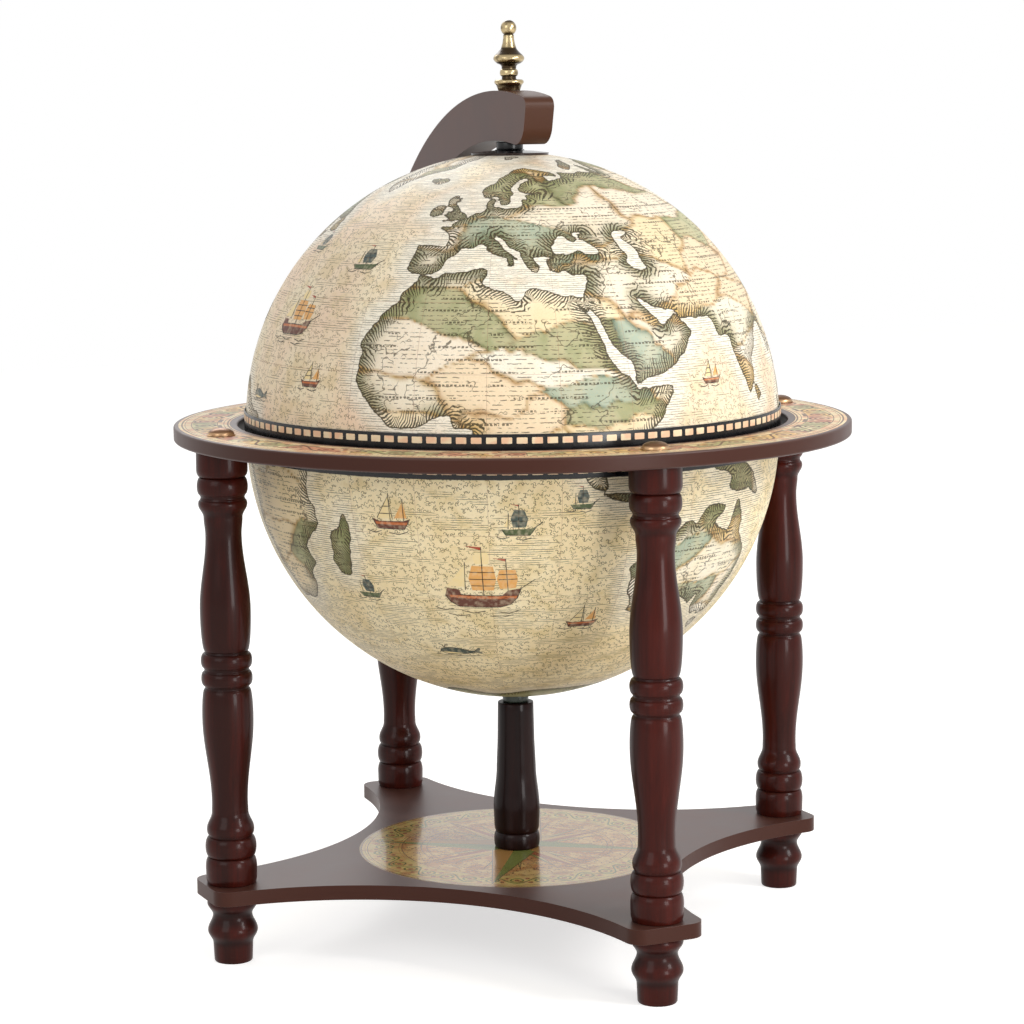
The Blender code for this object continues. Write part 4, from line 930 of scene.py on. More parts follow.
def layGores(mesh, points, radius):
    # a flat map of each 30 degree gore, in metres, and the turn within it in degrees, on the faces' corners
    loops = np.empty(len(mesh.loops), np.int32)
    mesh.loops.foreach_get("vertex_index", loops)
    azimuth = np.degrees(np.arctan2(points[:, 1], points[:, 0]))
    centers = vectors(mesh.polygons, "center")
    middle = np.degrees(np.arctan2(centers[:, 1], centers[:, 0]))
    gore = np.repeat(np.floor(middle / 30) * 30 + 15, [len(face.vertices) for face in mesh.polygons])
    turn = (azimuth[loops] - gore + 180) % 360 - 180
    latitude = np.arcsin(np.clip(points[:, 2] / np.linalg.norm(points, axis=1), -1, 1))[loops]
    flat = np.stack([radius * np.cos(latitude) * np.radians(turn) * mm, radius * latitude * mm], 1)
    mesh.uv_layers.new(name="gore").data.foreach_set("uv", flat.ravel().astype(np.float32))
    mark(mesh, "turn", turn + 15, "CORNER")


# Small drawings on the seas: plain ships and a whale, each a thin print over the paper

def printPaint(name):
    # printed ink washed with colour: flat tones that lie a little uneven on the paper
    material, add = newFinish(name, {"Roughness": 0.42, "Specular IOR Level": 0.4})
    tone = add("Attribute tone", out="Color")
    return dress(material, {"Base Color": printOver(add, tone, "#ead9b4", (grain(add, 3.0), 0.4, 0.7), 0.28)})


drawingFacts = {
    "lift": 0.05,           # millimetres off the paper, twice that for lines
    "nextLift": 0.004,      # of each shape over the one before
    "pen": 0.5,
    "longest": 2.2,         # edge, so that the shapes follow the globe
    "tones": {"ink": "#231e12", "hull": "#5c2f1d", "deck": "#b8632f", "sail": "#dfa45c", "pale": "#ecd49c",
              "green": "#46532f", "slate": "#3f4c46", "red": "#a33f25"},
    "galleon": [
        ("hull", [(-10, 1.2), (-8.8, -0.8), (-6.6, -2.2), (4, -2.2), (6.6, -1.4), (8.4, 0.6), (9.6, 3.6),
                  (6.2, 3.0), (4.6, 1.6), (-5.8, 1.7), (-6.2, 3.2), (-9.4, 3.6)]),
        ("deck", [(-9.0, 1.3), (-8.6, 0.5), (8.0, 0.4), (8.5, 1.2), (4.6, 1.3), (-5.8, 1.4)]),
        ("sail", [(4.2, 3.6), (8.2, 3.8), (8.9, 6.4), (8.5, 9.2), (4.4, 9.4), (3.6, 6.6)]),
        ("sail", [(-2.8, 3.2), (2.6, 3.2), (3.4, 6.6), (2.8, 10.4), (-2.6, 10.6), (-3.6, 6.8)]),
        ("pale", [(-1.8, 11.2), (1.6, 11.2), (2, 12.9), (1.6, 14.4), (-1.5, 14.6), (-2.2, 13)]),
        ("pale", [(-9.4, 4.2), (-4.8, 4.2), (-4.4, 11)]),
        ("red", [(0, 15.2), (0, 16.1), (-4.4, 16.4)]), ("red", [(6.2, 11.8), (6.2, 12.6), (2.8, 12.9)])],
    "galleonLines": [
        [(-4.6, 3.2), (-4.4, 11.6)], [(0, 1.8), (0, 16.2)], [(6.2, 2.8), (6.2, 12.7)], [(9, 3.2), (13.4, 6)],
        [(-3, 4.6), (2.9, 4.6)], [(-3.4, 6.6), (3.3, 6.6)], [(-3.1, 8.7), (3.1, 8.7)], [(4.0, 6.5), (8.8, 6.5)],
        [(4.2, 8), (8.7, 8)], [(-10, 1.2), (-8.8, -0.8), (-6.6, -2.2), (4, -2.2), (6.6, -1.4), (8.4, 0.6), (9.6, 3.6)],
        [(-5.8, 1.6), (4.6, 1.5)], [(-13, -3.2), (-10.5, -3.9), (-8, -3.1)], [(-6, -3.6), (-3, -4.3), (0, -3.5)],
        [(3, -3.8), (6, -4.4), (9, -3.4)], [(-9.5, -5), (-6.5, -5.5), (-4, -4.9)], [(1, -5.2), (4, -5.7), (7, -5)]],
    "cog": [
        ("green", [(-5.5, 0.8), (-4.2, -1.2), (3.6, -1.3), (5.6, 1.4), (3.4, 0.9), (-3.6, 0.7)]),
        ("slate", [(-1.8, 1.4), (2.2, 1.4), (3.0, 4.2), (1.8, 7.2), (-1.4, 7.4), (-2.6, 4.4)]),
        ("pale", [(-4.6, 1.6), (-2.9, 1.7), (-3.3, 5.4)]), ("red", [(0, 8.4), (0, 9), (-2.6, 9.2)])],
    "cogLines": [
        [(0, 0.8), (0, 9.1)], [(-3.4, 0.9), (-3.3, 6.2)], [(-2.4, 3.6), (2.8, 3.5)], [(-2.2, 5.6), (2.4, 5.5)],
        [(-5.5, 0.8), (-4.2, -1.2), (3.6, -1.3), (5.6, 1.4)], [(5, 1.2), (7.6, 3)],
        [(-7, -2), (-5, -2.5), (-3, -1.9)], [(-1, -2.4), (1.5, -2.9), (4, -2.2)]],
    "caravel": [
        ("hull", [(-6, 1.6), (-4.6, -1.4), (4.2, -1.4), (6.2, 1.8), (4, 1.1), (-3.8, 0.9)]),
        ("pale", [(-4.4, 1.8), (0.6, 1.8), (-0.2, 8.6)]), ("sail", [(1.2, 1.9), (5.2, 2), (4.3, 7)]),
        ("deck", [(-5.2, 0.6), (-4.9, -0.1), (5, -0.1), (5.5, 0.7)])],
    "caravelLines": [
        [(-0.1, 0.9), (-0.2, 9.4)], [(4.2, 1.2), (4.3, 7.8)], [(-4.4, 1.8), (-0.2, 8.6), (0.6, 1.8)],
        [(-6, 1.6), (-4.6, -1.4), (4.2, -1.4), (6.2, 1.8)], [(-8, -2.2), (-5.6, -2.8), (-3.4, -2.1)],
        [(-1, -2.5), (2, -3.1), (4.8, -2.3)], [(-3.6, 3.2), (0.4, 3.3)], [(-2.4, 5.4), (0.1, 5.5)]],
    "whale": [
        ("slate", [(-8.4, -0.4), (-8, 1.6), (-5.6, 3.2), (-2, 3.7), (2, 2.9), (5.6, 1.3), (8, 1.2), (10.2, 3.4),
                   (11.2, 2.9), (10.2, 1), (11.6, -0.6), (10.6, -1.2), (8, 0), (4.4, -0.8), (0, -1.6), (-6, -1.5)]),
        ("pale", [(-8, -0.5), (-5.8, -1.2), (0, -1.3), (3, -0.8), (-2, -0.2), (-6.4, 0.1)])],
    "whaleLines": [
        [(-8.4, -0.4), (-8, 1.6), (-5.6, 3.2), (-2, 3.7), (2, 2.9), (5.6, 1.3), (8, 1.2), (10.2, 3.4)],
        [(11.6, -0.6), (8, 0), (4.4, -0.8), (0, -1.6), (-6, -1.5), (-8.4, -0.4), (-4.6, 0.2)],
        [(-6.2, 3.4), (-6.6, 5.2), (-8.2, 6)], [(-5.8, 3.4), (-5.2, 5.4), (-3.6, 5.9)],
        [(-11, -2.2), (-7, -2.8), (-3.5, -2.3), (0, -2.8), (3.5, -2.3), (7, -2.8), (10, -2.2)]],
    # kind, degrees east of the photo's middle, degrees north, size
    "upper": [("galleon", -58, 23, 1.7), ("cog", -41, 38, 1.7), ("caravel", -47, 12, 1.4), ("cog", -68, 42, 1.4),
              ("whale", -68, 8, 1.1), ("caravel", 46, 12, 1.3), ("galleon", 152, 28, 1.9), ("cog", 130, 15, 1.6),
              ("whale", 171, 10, 1.4), ("caravel", 178, 44, 1.5), ("cog", -86, 24, 1.5)],
    "lower": [("galleon", -7, -30, 2.3), ("caravel", -26, -13, 2.0), ("cog", 1, -14, 1.8),
              ("caravel", 17, -37, 1.6), ("cog", -36, -30, 1.5), ("whale", -17, -46, 1.3), ("cog", 14, -9, 1.3),
              ("galleon", 118, -30, 2.2), ("caravel", 142, -14, 1.8), ("whale", 98, -46, 1.6),
              ("cog", -112, -22, 1.7), ("galleon", -102, -44, 1.8), ("caravel", 160, -42, 1.6)],
}


def penStroke(points, half):
    # a line as a narrow closed shape
    points = [Vector(p) for p in points]
    left, right = [], []
    for k, point in enumerate(points):
        ahead = (points[min(k + 1, len(points) - 1)] - points[max(k - 1, 0)]).normalized()
        side = Vector((-ahead.y, ahead.x)) * half
        left.append(point + side)
        right.append(point - side)
    return [tuple(p) for p in right + left[::-1]]


def buildDrawings(name, which, centre, body):
    facts = drawingFacts
    radius = globeFacts["radius"]
    points, faces, tones = [], [], []
    for kind, east, north, size in facts[which]:
        shapes = [(tone, border, 1) for tone, border in facts[kind]]
        shapes += [("ink", penStroke(line, facts["pen"] / 2 / size), 2) for line in facts[kind + "Lines"]]
        spin, rise = radians(east + photoAzimuth), radians(north)
        out = Vector((cos(rise) * cos(spin), cos(rise) * sin(spin), sin(rise)))
        right = Vector((-sin(spin), cos(spin), 0))
        up = out.cross(right)
        for order, (tone, border, lifts) in enumerate(shapes):
            shape = bmesh.new()
            face = shape.faces.new([shape.verts.new((x * size, y * size, 0)) for x, y in border])
            face.normal_update()
            if face.normal.z < 0:
                face.normal_flip()
            bmesh.ops.triangulate(shape, faces=shape.faces)
            for cut in range(3):
                long = [edge for edge in shape.edges if edge.calc_length() > facts["longest"]]
                if long:
                    bmesh.ops.subdivide_edges(shape, edges=long, cuts=1)
                    bmesh.ops.triangulate(shape, faces=shape.faces)
            lift = facts["lift"] * lifts + facts["nextLift"] * order
            first = len(points)
            shape.verts.index_update()
            for vert in shape.verts:
                spot = (out * radius + right * vert.co.x + up * vert.co.y).normalized() * (radius + lift)
                points.append(tuple(spot * mm + centre))
                tones.append(linear(facts["tones"][tone]))
            faces += [[first + vert.index for vert in face.verts] for face in shape.faces]
            shape.free()
    mesh = bpy.data.meshes.new(name)
    mesh.from_pydata(points, [], faces)
    markColors(mesh, "tone", tones)
    mesh.shade_smooth()
    keep(name, mesh, drawingPaint, body, "map_shell")


# The turned legs, feet, column and finial: height share, radius share, form of the span above, steps

turnedFacts = {
    "segments": 64,
    "fine": 5,              # times the steps of a span
    "near": {"leg": 3.0, "foot": 4.5},    # half the width of a groove that gets painted shade on the wood, in millimetres
    "leg": [
        (1.000, 0.985), (0.959, 0.990), (0.942, 0.840, "bead", 2),
        (0.920, 0.980, "bead", 2), (0.902, 0.885, "bead", 2), (0.896, 0.845, "swell", 1),
        (0.890, 0.870, "swell", 1), (0.880, 0.945, "bead", 2), (0.850, 0.750, "swell", 3),
        (0.810, 0.700, "swell", 2), (0.636, 0.985, "swell", 4), (0.542, 0.830, "bead", 3),
        (0.5375, 0.860, "swell", 1), (0.5205, 0.995, "bead", 2), (0.5045, 0.900, "bead", 2),
        (0.499, 0.865, "swell", 1), (0.494, 0.900, "swell", 1), (0.4785, 0.995, "bead", 2),
        (0.463, 0.890, "bead", 2), (0.458, 0.850, "swell", 1), (0.454, 0.880, "swell", 1),
        (0.388, 0.996, "bead", 4), (0.190, 0.700, "swell", 4), (0.167, 0.710, "swell", 1),
        (0.127, 0.920, "swell", 2), (0.1145, 0.870, "bead", 2), (0.109, 0.845, "swell", 1),
        (0.085, 0.995, "bead", 2), (0.062, 0.860, "bead", 2), (0.038, 1.000, "bead", 2),
        (0.010, 0.990), (0.000, 0.950)],
    "foot": [
        (1.000, 0.920), (0.925, 1.000, "bead", 2), (0.742, 0.785, "swell", 3),
        (0.490, 0.995, "swell", 3), (0.290, 0.795, "swell", 3), (0.020, 0.765),
        (0.000, 0.735)],
    "column": [
        (1.000, 0.750), (0.994, 0.770), (0.730, 0.800),
        (0.560, 0.850), (0.270, 1.000, "swell", 3), (0.160, 0.975),
        (0.108, 0.880, "bead", 2), (0.055, 0.990, "bead", 2), (0.000, 0.930, "bead", 2)],
    "finial": [
        (0.783, 0.345), (0.740, 0.350), (0.671, 0.400),
        (0.591, 0.510), (0.543, 0.690), (0.505, 0.880),
        (0.482, 0.965), (0.463, 1.000), (0.447, 1.000),
        (0.431, 0.970), (0.408, 0.890), (0.383, 0.740),
        (0.368, 0.560), (0.345, 0.480),
        (0.303, 0.465), (0.250, 0.590, "bead", 3), (0.200, 0.460, "bead", 3),
        (0.162, 0.470), (0.156, 0.780), (0.118, 0.955, "bead", 2),
        (0.060, 0.800, "swell", 2), (0.000, 0.700)],
}


def buildWood():
    facts = turnedFacts
    for kind, name in (("leg", "turnedLegs"), ("foot", "turnedFeet")):
        low, high, middle, size = sizeOf(kind + "_front")
        around = {"Count": 4, "Radius": abs(middle.y), "Start": -pi / 2, "Step": pi / 2}
        points = outline(facts[kind], size.z, size.x / 2, facts["fine"])
        one = turned(kind, points, facts["segments"], low.z, facts["near"][kind])
        keep(name, copiesAround(name, one, around, legWood), legWood, "stand", "lacquered_wood",
             [kind + "_" + side for side in sides])
    low, high, middle, size = sizeOf("column")
    points = outline(facts["column"], size.z, size.x / 2, facts["fine"])
    keep("turnedColumn", turned("turnedColumn", points, facts["segments"], low.z), columnWood, "stand",
         "lacquered_wood", ["column"])


boardFacts = {
    "ringEdge": 1.3,        # millimetres
    "shelfEdge": 1.0,
    "gap": 5.0,             # from the bowl to the ring's hole, and on to its print
    "lobes": (1.5, 23.5, 10.0),    # the shelf's lobes: inside its box, half as wide, and rounded
    "sheet": (0.1, 0.06, 0.05),    # a print: how far into its board and out of it, and its edge
    "inset": 0.5,           # of the ring print's outer edge
    "shelfBore": 4.0,       # the shelf print's hole
    "steps": 192,
}


def buildRing():
    facts = boardFacts
    low, high, middle, size = sizeOf("horizon_ring")
    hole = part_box("bowl_shell")[1].x + facts["gap"] * mm
    profile = ringOutline(hole, high.x, low.z, high.z, facts["ringEdge"] * mm)
    mesh = ringMesh("horizonRing", [(r, z, facts["steps"]) for r, z in profile], closed=True)
    mesh = modified(mesh, [("WEIGHTED_NORMAL", {"keep_sharp": True})])
    markCut(mesh, 2)
    keep("horizonRing", mesh, boardPaint, "stand", "brown_board", ["horizon_ring"])
    keepPrint("ringPrint", hole + facts["gap"] * mm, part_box("ring_print")[1].x - facts["inset"] * mm, high.z,
              ringPaper, "ring_print")


def keepPrint(name, inner, outer, top, finish, node):
    # a thin sheet that stands out of its board by less than a tenth of a millimetre
    under, over, edge = (length * mm for length in boardFacts["sheet"])
    profile = ringOutline(inner, outer, top - under, top + over, edge, 1)
    keepRing(name, profile, boardFacts["steps"], finish, "stand", "printed_paper", [node])


def buildShelf():
    low, high, middle, size = sizeOf("shelf")
    reach, lobe, rounding = (length * mm for length in boardFacts["lobes"])
    reach = high.x - reach
    cutRadius = reach - lobe
    endAngle = asin(rounding / cutRadius)
    points = []
    for quarter in range(4):
        turn = Matrix.Rotation(quarter * pi / 2, 2)
        sweep = arc((reach, reach), cutRadius, -pi / 2 - endAngle, -pi + endAngle, 48)
        rounded = corner((reach, 0), (reach, lobe), sweep[0], rounding, 8)
        mirrored = [(y, x) for x, y in reversed(rounded)]
        points += [tuple(turn @ Vector(p)) for p in rounded + sweep[1:-1] + mirrored]
    mesh = plate("lowerShelf", [points], size.z, boardFacts["shelfEdge"] * mm)
    mesh.transform(Matrix.Translation((0, 0, middle.z)))
    markCut(mesh, 2)
    keep("lowerShelf", mesh, boardPaint, "stand", "brown_board", ["shelf"])
    keepPrint("shelfPrint", boardFacts["shelfBore"] * mm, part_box("shelf_print")[1].x, high.z, shelfPaper,
              "shelf_print")


def polar(add):
    # how far from the axis in millimetres, and the turn round it in degrees
    x = add("SeparateXYZ", inMillimetres(add), out="X")
    y = x.node.outputs["Y"]
    reach = add("Math SQRT", add("Math MULTIPLY_ADD", y, y, add("Math MULTIPLY", x, x)))
    return reach, add("Math MULTIPLY_ADD", add("Math ARCTAN2", y, x), 180 / pi, 180.0)


def vine(add, reach, turn, radius, count, swing):
    # a scrolling vine round a circle: its stem and scrolls, and its leaves
    step = 360 / count
    width = 2 * pi * radius / count
    cell = add("Math MODULO", turn, step)
    x = add("Math MULTIPLY_ADD", cell, width / step, -width / 2)
    y = add("Math ADD", reach, -radius)
    wave = add("Math SINE", add("Math MULTIPLY", cell, 2 * pi / step))
    drawn = [penLine(add, add("Math MULTIPLY_ADD", wave, -swing, y), swing * 0.13, swing * 0.06)]
    leaves = []
    for side in (1, -1):
        # each bend of the stem holds a scroll, with a leaf in it and two outside
        for dx, dy, size, kind in ((-0.25, 0.1, 0.62, "scroll"), (-0.25, 0.1, 0.26, "leaf"),
                                   (-0.02, 0.75, 0.24, "leaf"), (-0.46, 0.75, 0.2, "leaf")):
            spot = add("CombineXYZ", add("Math ADD", x, -side * dx * width), add("Math ADD", y, side * dy * swing))
            away = add("VectorMath LENGTH", spot, out="Value")
            if kind == "scroll":
                drawn.append(penLine(add, away, swing * 0.1, swing * 0.06, size * swing))
            else:
                leaves.append((away, size * swing * 1.12, size * swing * 0.9))
    return whereAny(add, *drawn), whereAny(add, *leaves)


def circles(add, reach, pairs):
    # thin lines round the axis, by radius and half width
    return [penLine(add, reach, half, 0.08, radius) for radius, half in pairs]


ringPrintFacts = {
    "panels": 24,
    "middle": 190.5,        # millimetres from the axis
    "half": 7.4,
    "vineCount": 26,
    "vineSwing": 6.9,
    "lines": [(176.2, 0.5), (178.6, 0.2), (182.6, 0.3), (198.4, 0.3), (202.4, 0.2), (204.2, 0.5)],
    "blocks": (181.2, 1.1),    # middle and half width of the scale of five degrees, and of single degrees
    "ticks": (200.2, 1.9),
}


def ringPaperPrint(name):
    # paper, printed and varnished: a degree scale and scrolled panels in rose, ochre and green on tan
    material, add = newFinish(name, {"Roughness": 0.36, "Specular IOR Level": 0.2})
    facts = ringPrintFacts
    reach, turn = polar(add)
    blots = grain(add, 9, 3, 0.8)
    step = 360 / facts["panels"]
    panel = add("Math PINGPONG", turn, step)
    wash = printOver(add, "#c07a5e", "#9aa06a", (panel, step * 0.48, step * 0.52))
    wash = printOver(add, wash, "#d9b060", (grain(add, 40, 2), 0.5, 0.56))
    inPanel = penLine(add, reach, facts["half"], 0.2, facts["middle"])
    drawn, leaves = vine(add, reach, turn, facts["middle"], facts["vineCount"], facts["vineSwing"])
    color = printOver(add, "#efdcae", "#e0b084", (blots, 0.38, 0.62))
    color = printOver(add, color, wash, inPanel, (blots, 0.25, 0.55), 0.85)
    color = printOver(add, color, "#7c3826", leaves, inPanel, 0.95)
    color = printOver(add, color, "#4e2116", drawn, inPanel, 0.95)
    (blockMiddle, blockHalf), (tickMiddle, tickHalf) = facts["blocks"], facts["ticks"]
    lines = whereAny(
        add, whereAll(add, penLine(add, panel, 0.09, 0.05, step / 2), inPanel),
        whereAll(add, penLine(add, add("Math PINGPONG", turn, 0.5), 0.06, 0.03),
                 penLine(add, reach, tickHalf, 0.1, tickMiddle)),
        whereAll(add, (add("Math PINGPONG", turn, 5.0), 2.45, 2.55),
                 penLine(add, reach, blockHalf, 0.1, blockMiddle)), *circles(add, reach, facts["lines"]))
    color = printOver(add, color, "#4a2a20", lines, 0.85)
    return dress(material, {"Base Color": color}, blots, 0.03)


compassFacts = {
    "turn": 34.3,           # of the whole rose, in degrees
    "stars": [    # points apart in degrees, turn, tip and hollow in millimetres, dark and light side
        (22.5, 11.25, 57, 15, "#7d7a42", "#ad9462"),
        (45, 0, 74, 17, "#8a5030", "#a88b58"),
        (90, 0, 93, 19, "#96703f", "#6a6f38"),
    ],
    "lines": [(57.2, 0.3), (60.8, 0.3), (73.0, 0.3), (75.0, 0.15), (94.8, 0.3), (96.4, 0.15), (98.8, 0.7)],
    "ticks": (59.0, 1.6),    # middle and half width
    "middleWash": (60.6, 60.2),    # from nothing to full
    "middleCurls": (74.0, 72.6),
    "rim": (73.4, 73.8),
    "vineMiddle": 84.8,
    "vineCount": 18,
    "vineSwing": 6.2,
}


def compassPrint(name):
    # paper, printed and varnished: a sixteen point compass rose on tan, with a scrolling vine round it
    material, add = newFinish(name, {"Roughness": 0.2, "Specular IOR Level": 0.5, "Coat Weight": 0.34,
                                     "Coat Roughness": 0.05})
    facts = compassFacts
    reach, turn = polar(add)
    blots = grain(add, 12, 3, 0.8)
    rim = (reach, *facts["rim"])
    drawn, leaves = vine(add, reach, turn, facts["vineMiddle"], facts["vineCount"], facts["vineSwing"])
    flat = inMillimetres(add, (1, 1, 0))
    fill = whereAny(add, curls(add, flat, 6.0, 0, 0.36), curls(add, flat, 8.0, 53, 0.44))
    color = printOver(add, "#b4965f", "#9c7144", (blots, 0.38, 0.62))
    color = printOver(add, color, "#a05c36", (reach, *facts["middleWash"]), (blots, 0.3, 0.6), 0.22)
    color = printOver(add, color, "#a7a05a", (grain(add, 7, 2), 0.4, 0.6), rim, 0.5)
    color = printOver(add, color, "#7a3f22", leaves, rim, 0.9)
    color = printOver(add, color, "#4d5a20", drawn, rim, 0.9)
    color = printOver(add, color, "#5b3d24", fill, (reach, *facts["middleCurls"]), 0.6)
    for step, shift, length, root, dark, light in facts["stars"]:
        moved = add("Math MODULO", add("Math ADD", turn, facts["turn"] + shift + step / 2), step)
        offset = add("Math ADD", moved, -step / 2)
        angle = add("Math MULTIPLY", add("Math ABSOLUTE", offset), pi / 180)
        side, along = (add("Math MULTIPLY", add("Math " + form, angle), reach) for form in ("SINE", "COSINE"))
        half = radians(step / 2)
        slope = root * sin(half) / (length - root * cos(half))
        limit = add("Math MULTIPLY_ADD", along, -slope, slope * length)
        within = add("Math SUBTRACT", limit, side)
        facet = printOver(add, dark, light, (offset, -0.05, 0.05))
        color = printOver(add, color, facet, (within, -0.05, 0.05))
        color = printOver(add, color, "#4a3320", penLine(add, within, 0.3, 0.12), (limit, -0.6, 0.0), 0.85)
    tickMiddle, tickHalf = facts["ticks"]
    ticks = whereAll(add, penLine(add, add("Math PINGPONG", turn, 2.5), 0.12, 0.06),
                     penLine(add, reach, tickHalf, 0.1, tickMiddle))
    color = printOver(add, color, "#5a4028", whereAny(add, ticks, *circles(add, reach, facts["lines"])), 0.8)
    return dress(material, {"Base Color": color})


bandFacts = {
    "count": 120,
    "width": 6.3,           # millimetres
    "height": 3.7,
    "depth": 1.0,
    "corner": 0.45,
    "proud": 0.06,
    "above": 9.05,          # from the rim to the middle of the squares on the upper half
    "below": 8.05,          # the same on the lower half
    "start": 1.0,           # degrees
    "spread": 0.05,         # of the squares' sizes
    "ring": (0.7, 0.3, 3, 240),    # the band under them: thickness, edge, steps of its edge and round it
}


def tile(width, height, depth, edge):
    # a thin square with softened corners, facing out along X
    mesh = bpy.data.meshes.new("tile")
    shape = bmesh.new()
    bmesh.ops.create_cube(shape, size=1)
    bmesh.ops.scale(shape, vec=(depth, width, height), verts=shape.verts)
    upright = [e for e in shape.edges if abs((e.verts[0].co - e.verts[1].co).x) > depth / 2]
    bmesh.ops.bevel(shape, geom=upright, offset=edge, segments=2, profile=0.5, affect="EDGES")
    shape.to_mesh(mesh)
    shape.free()
    return mesh


def buildBand(name, node, upward, body):
    facts = bandFacts
    low, high, middle, size = sizeOf(node)
    thickness, edge, edgeSteps, steps = facts["ring"]
    profile = ringOutline(high.x - thickness * mm, high.x, low.z, high.z, edge * mm, edgeSteps)
    keepRing(name, profile, steps, bandPlastic, body, "black_plastic", [node])
    width, tall, depth, edge = (facts[length] * mm for length in ("width", "height", "depth", "corner"))
    height = low.z + facts["above"] * mm if upward else high.z - facts["below"] * mm
    values = {"Count": facts["count"], "Radius": high.x - depth / 2 + facts["proud"] * mm, "Height": height,
              "Start": radians(facts["start"]), "Step": 2 * pi / facts["count"], "Spread": facts["spread"],
              "Seed": 5}
    squares = copiesAround(name + "Squares", tile(width, tall, depth, edge), values, squarePaper)
    keep(name + "Squares", squares, squarePaper, body, "printed_paper")


barFacts = {    # millimetres
    "bottle": 43.0,
    "web": 27.0,            # between a glass and the bottle
    "margin": 21.0,
    "glasses": 6,
    "edge": 1.6,
    "play": (0.2, 0.02),    # how much smaller than its solid: at the outer edge, and in thickness
}


def buildBar():
    facts = barFacts
    outer, thinner = facts["play"]
    bottle = arc((0, 0), facts["bottle"] * mm, 0, 2 * pi, 72)[:-1]
    for name, node, holes in (("glassBoard", "bar_insert", True), ("glassFloor", "glass_floor", False)):
        low, high, middle, size = sizeOf(node)
        outlines = [arc((0, 0), high.x - outer * mm, 0, 2 * pi, 180)[:-1], bottle]
        reach = (high.x / mm - facts["bottle"] - facts["web"] - facts["margin"]) / 2
        far = high.x / mm - facts["margin"] - reach
        for number in range(facts["glasses"] if holes else 0):
            angle = 2 * pi * number / facts["glasses"]
            outlines.append(arc((far * cos(angle) * mm, far * sin(angle) * mm), reach * mm, 0, 2 * pi, 60)[:-1])
        mesh = plate(name, outlines, size.z - thinner * mm, facts["edge"] * mm,
                     Matrix.Translation((0, 0, middle.z)))
        keep(name, mesh, insideWood, "stand", "lacquered_wood", [node])


def soften(name, node, width, finish, body, slotName):
    # a plain solid with its sharp edges rounded a little
    mesh = modified(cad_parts[node].data.copy(), [
        ("WELD", {"merge_threshold": 0.001 * mm}),
        ("BEVEL", {"width": width * mm, "segments": 2, "limit_method": "ANGLE", "angle_limit": radians(40),
                   "harden_normals": True})])
    mesh.transform(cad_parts[node].matrix_world)
    keep(name, mesh, finish, body, slotName, [node])


armFacts = {
    "edge": 1.7,            # millimetres
    "corners": (6.0, 13.0),    # of the front end, above and below
    "depth": 30.3,
    "overhang": 12.8,       # degrees in front of the pole
    "steps": 96,
}


def buildArm():
    facts = armFacts
    low, high, middle, size = sizeOf("arm")
    centre, back = domeCentre.z, high.y
    outer = high.z - centre
    inner = outer - facts["depth"] * mm
    start = pi / 2 + radians(facts["overhang"])
    foot = low.z - centre
    upper = arc((0, 0), outer, start, asin(sqrt(outer ** 2 - back ** 2) / outer), facts["steps"])
    lower = arc((0, 0), inner, asin(foot / inner), start, facts["steps"])
    above, below = (size * mm for size in facts["corners"])
    first = corner(lower[-1], upper[0], upper[4], above, 8)
    last = corner(lower[-5], lower[-1], upper[0], below, 10)
    upper = [p for p in upper if (Vector(p) - Vector(upper[0])).length > 1.1 * above]
    lower = [p for p in lower if (Vector(p) - Vector(lower[-1])).length > 1.1 * below]
    turn = Matrix.Translation((0, 0, centre)) @ Matrix.Rotation(pi / 2, 4, "Z") @ Matrix.Rotation(pi / 2, 4, "X")
    mesh = plate("halfMeridian", [first + upper + [(back, foot)] + lower + last], size.x, facts["edge"] * mm,
                 turn, 4)
    markCut(mesh, 0)
    keep("halfMeridian", mesh, armPaint, "lid", "brown_board", ["arm"])


poleFacts = {    # millimetres
    "bore": 2.9,
    "ball": 4.85,
    "seat": 0.3,            # of the finial, down onto the arm
    "near": 2.4,            # half the width of its grooves that are darkened
    "collarEdge": 0.5,
    "proud": 0.05,          # the disc, out of the globe
    "washer": (8.6, 9.2),
    "washerGaps": (0.04, 0.06),    # over the disc and under the collar
    "washerFall": 0.2,      # of its outer edge, as the disc falls
}


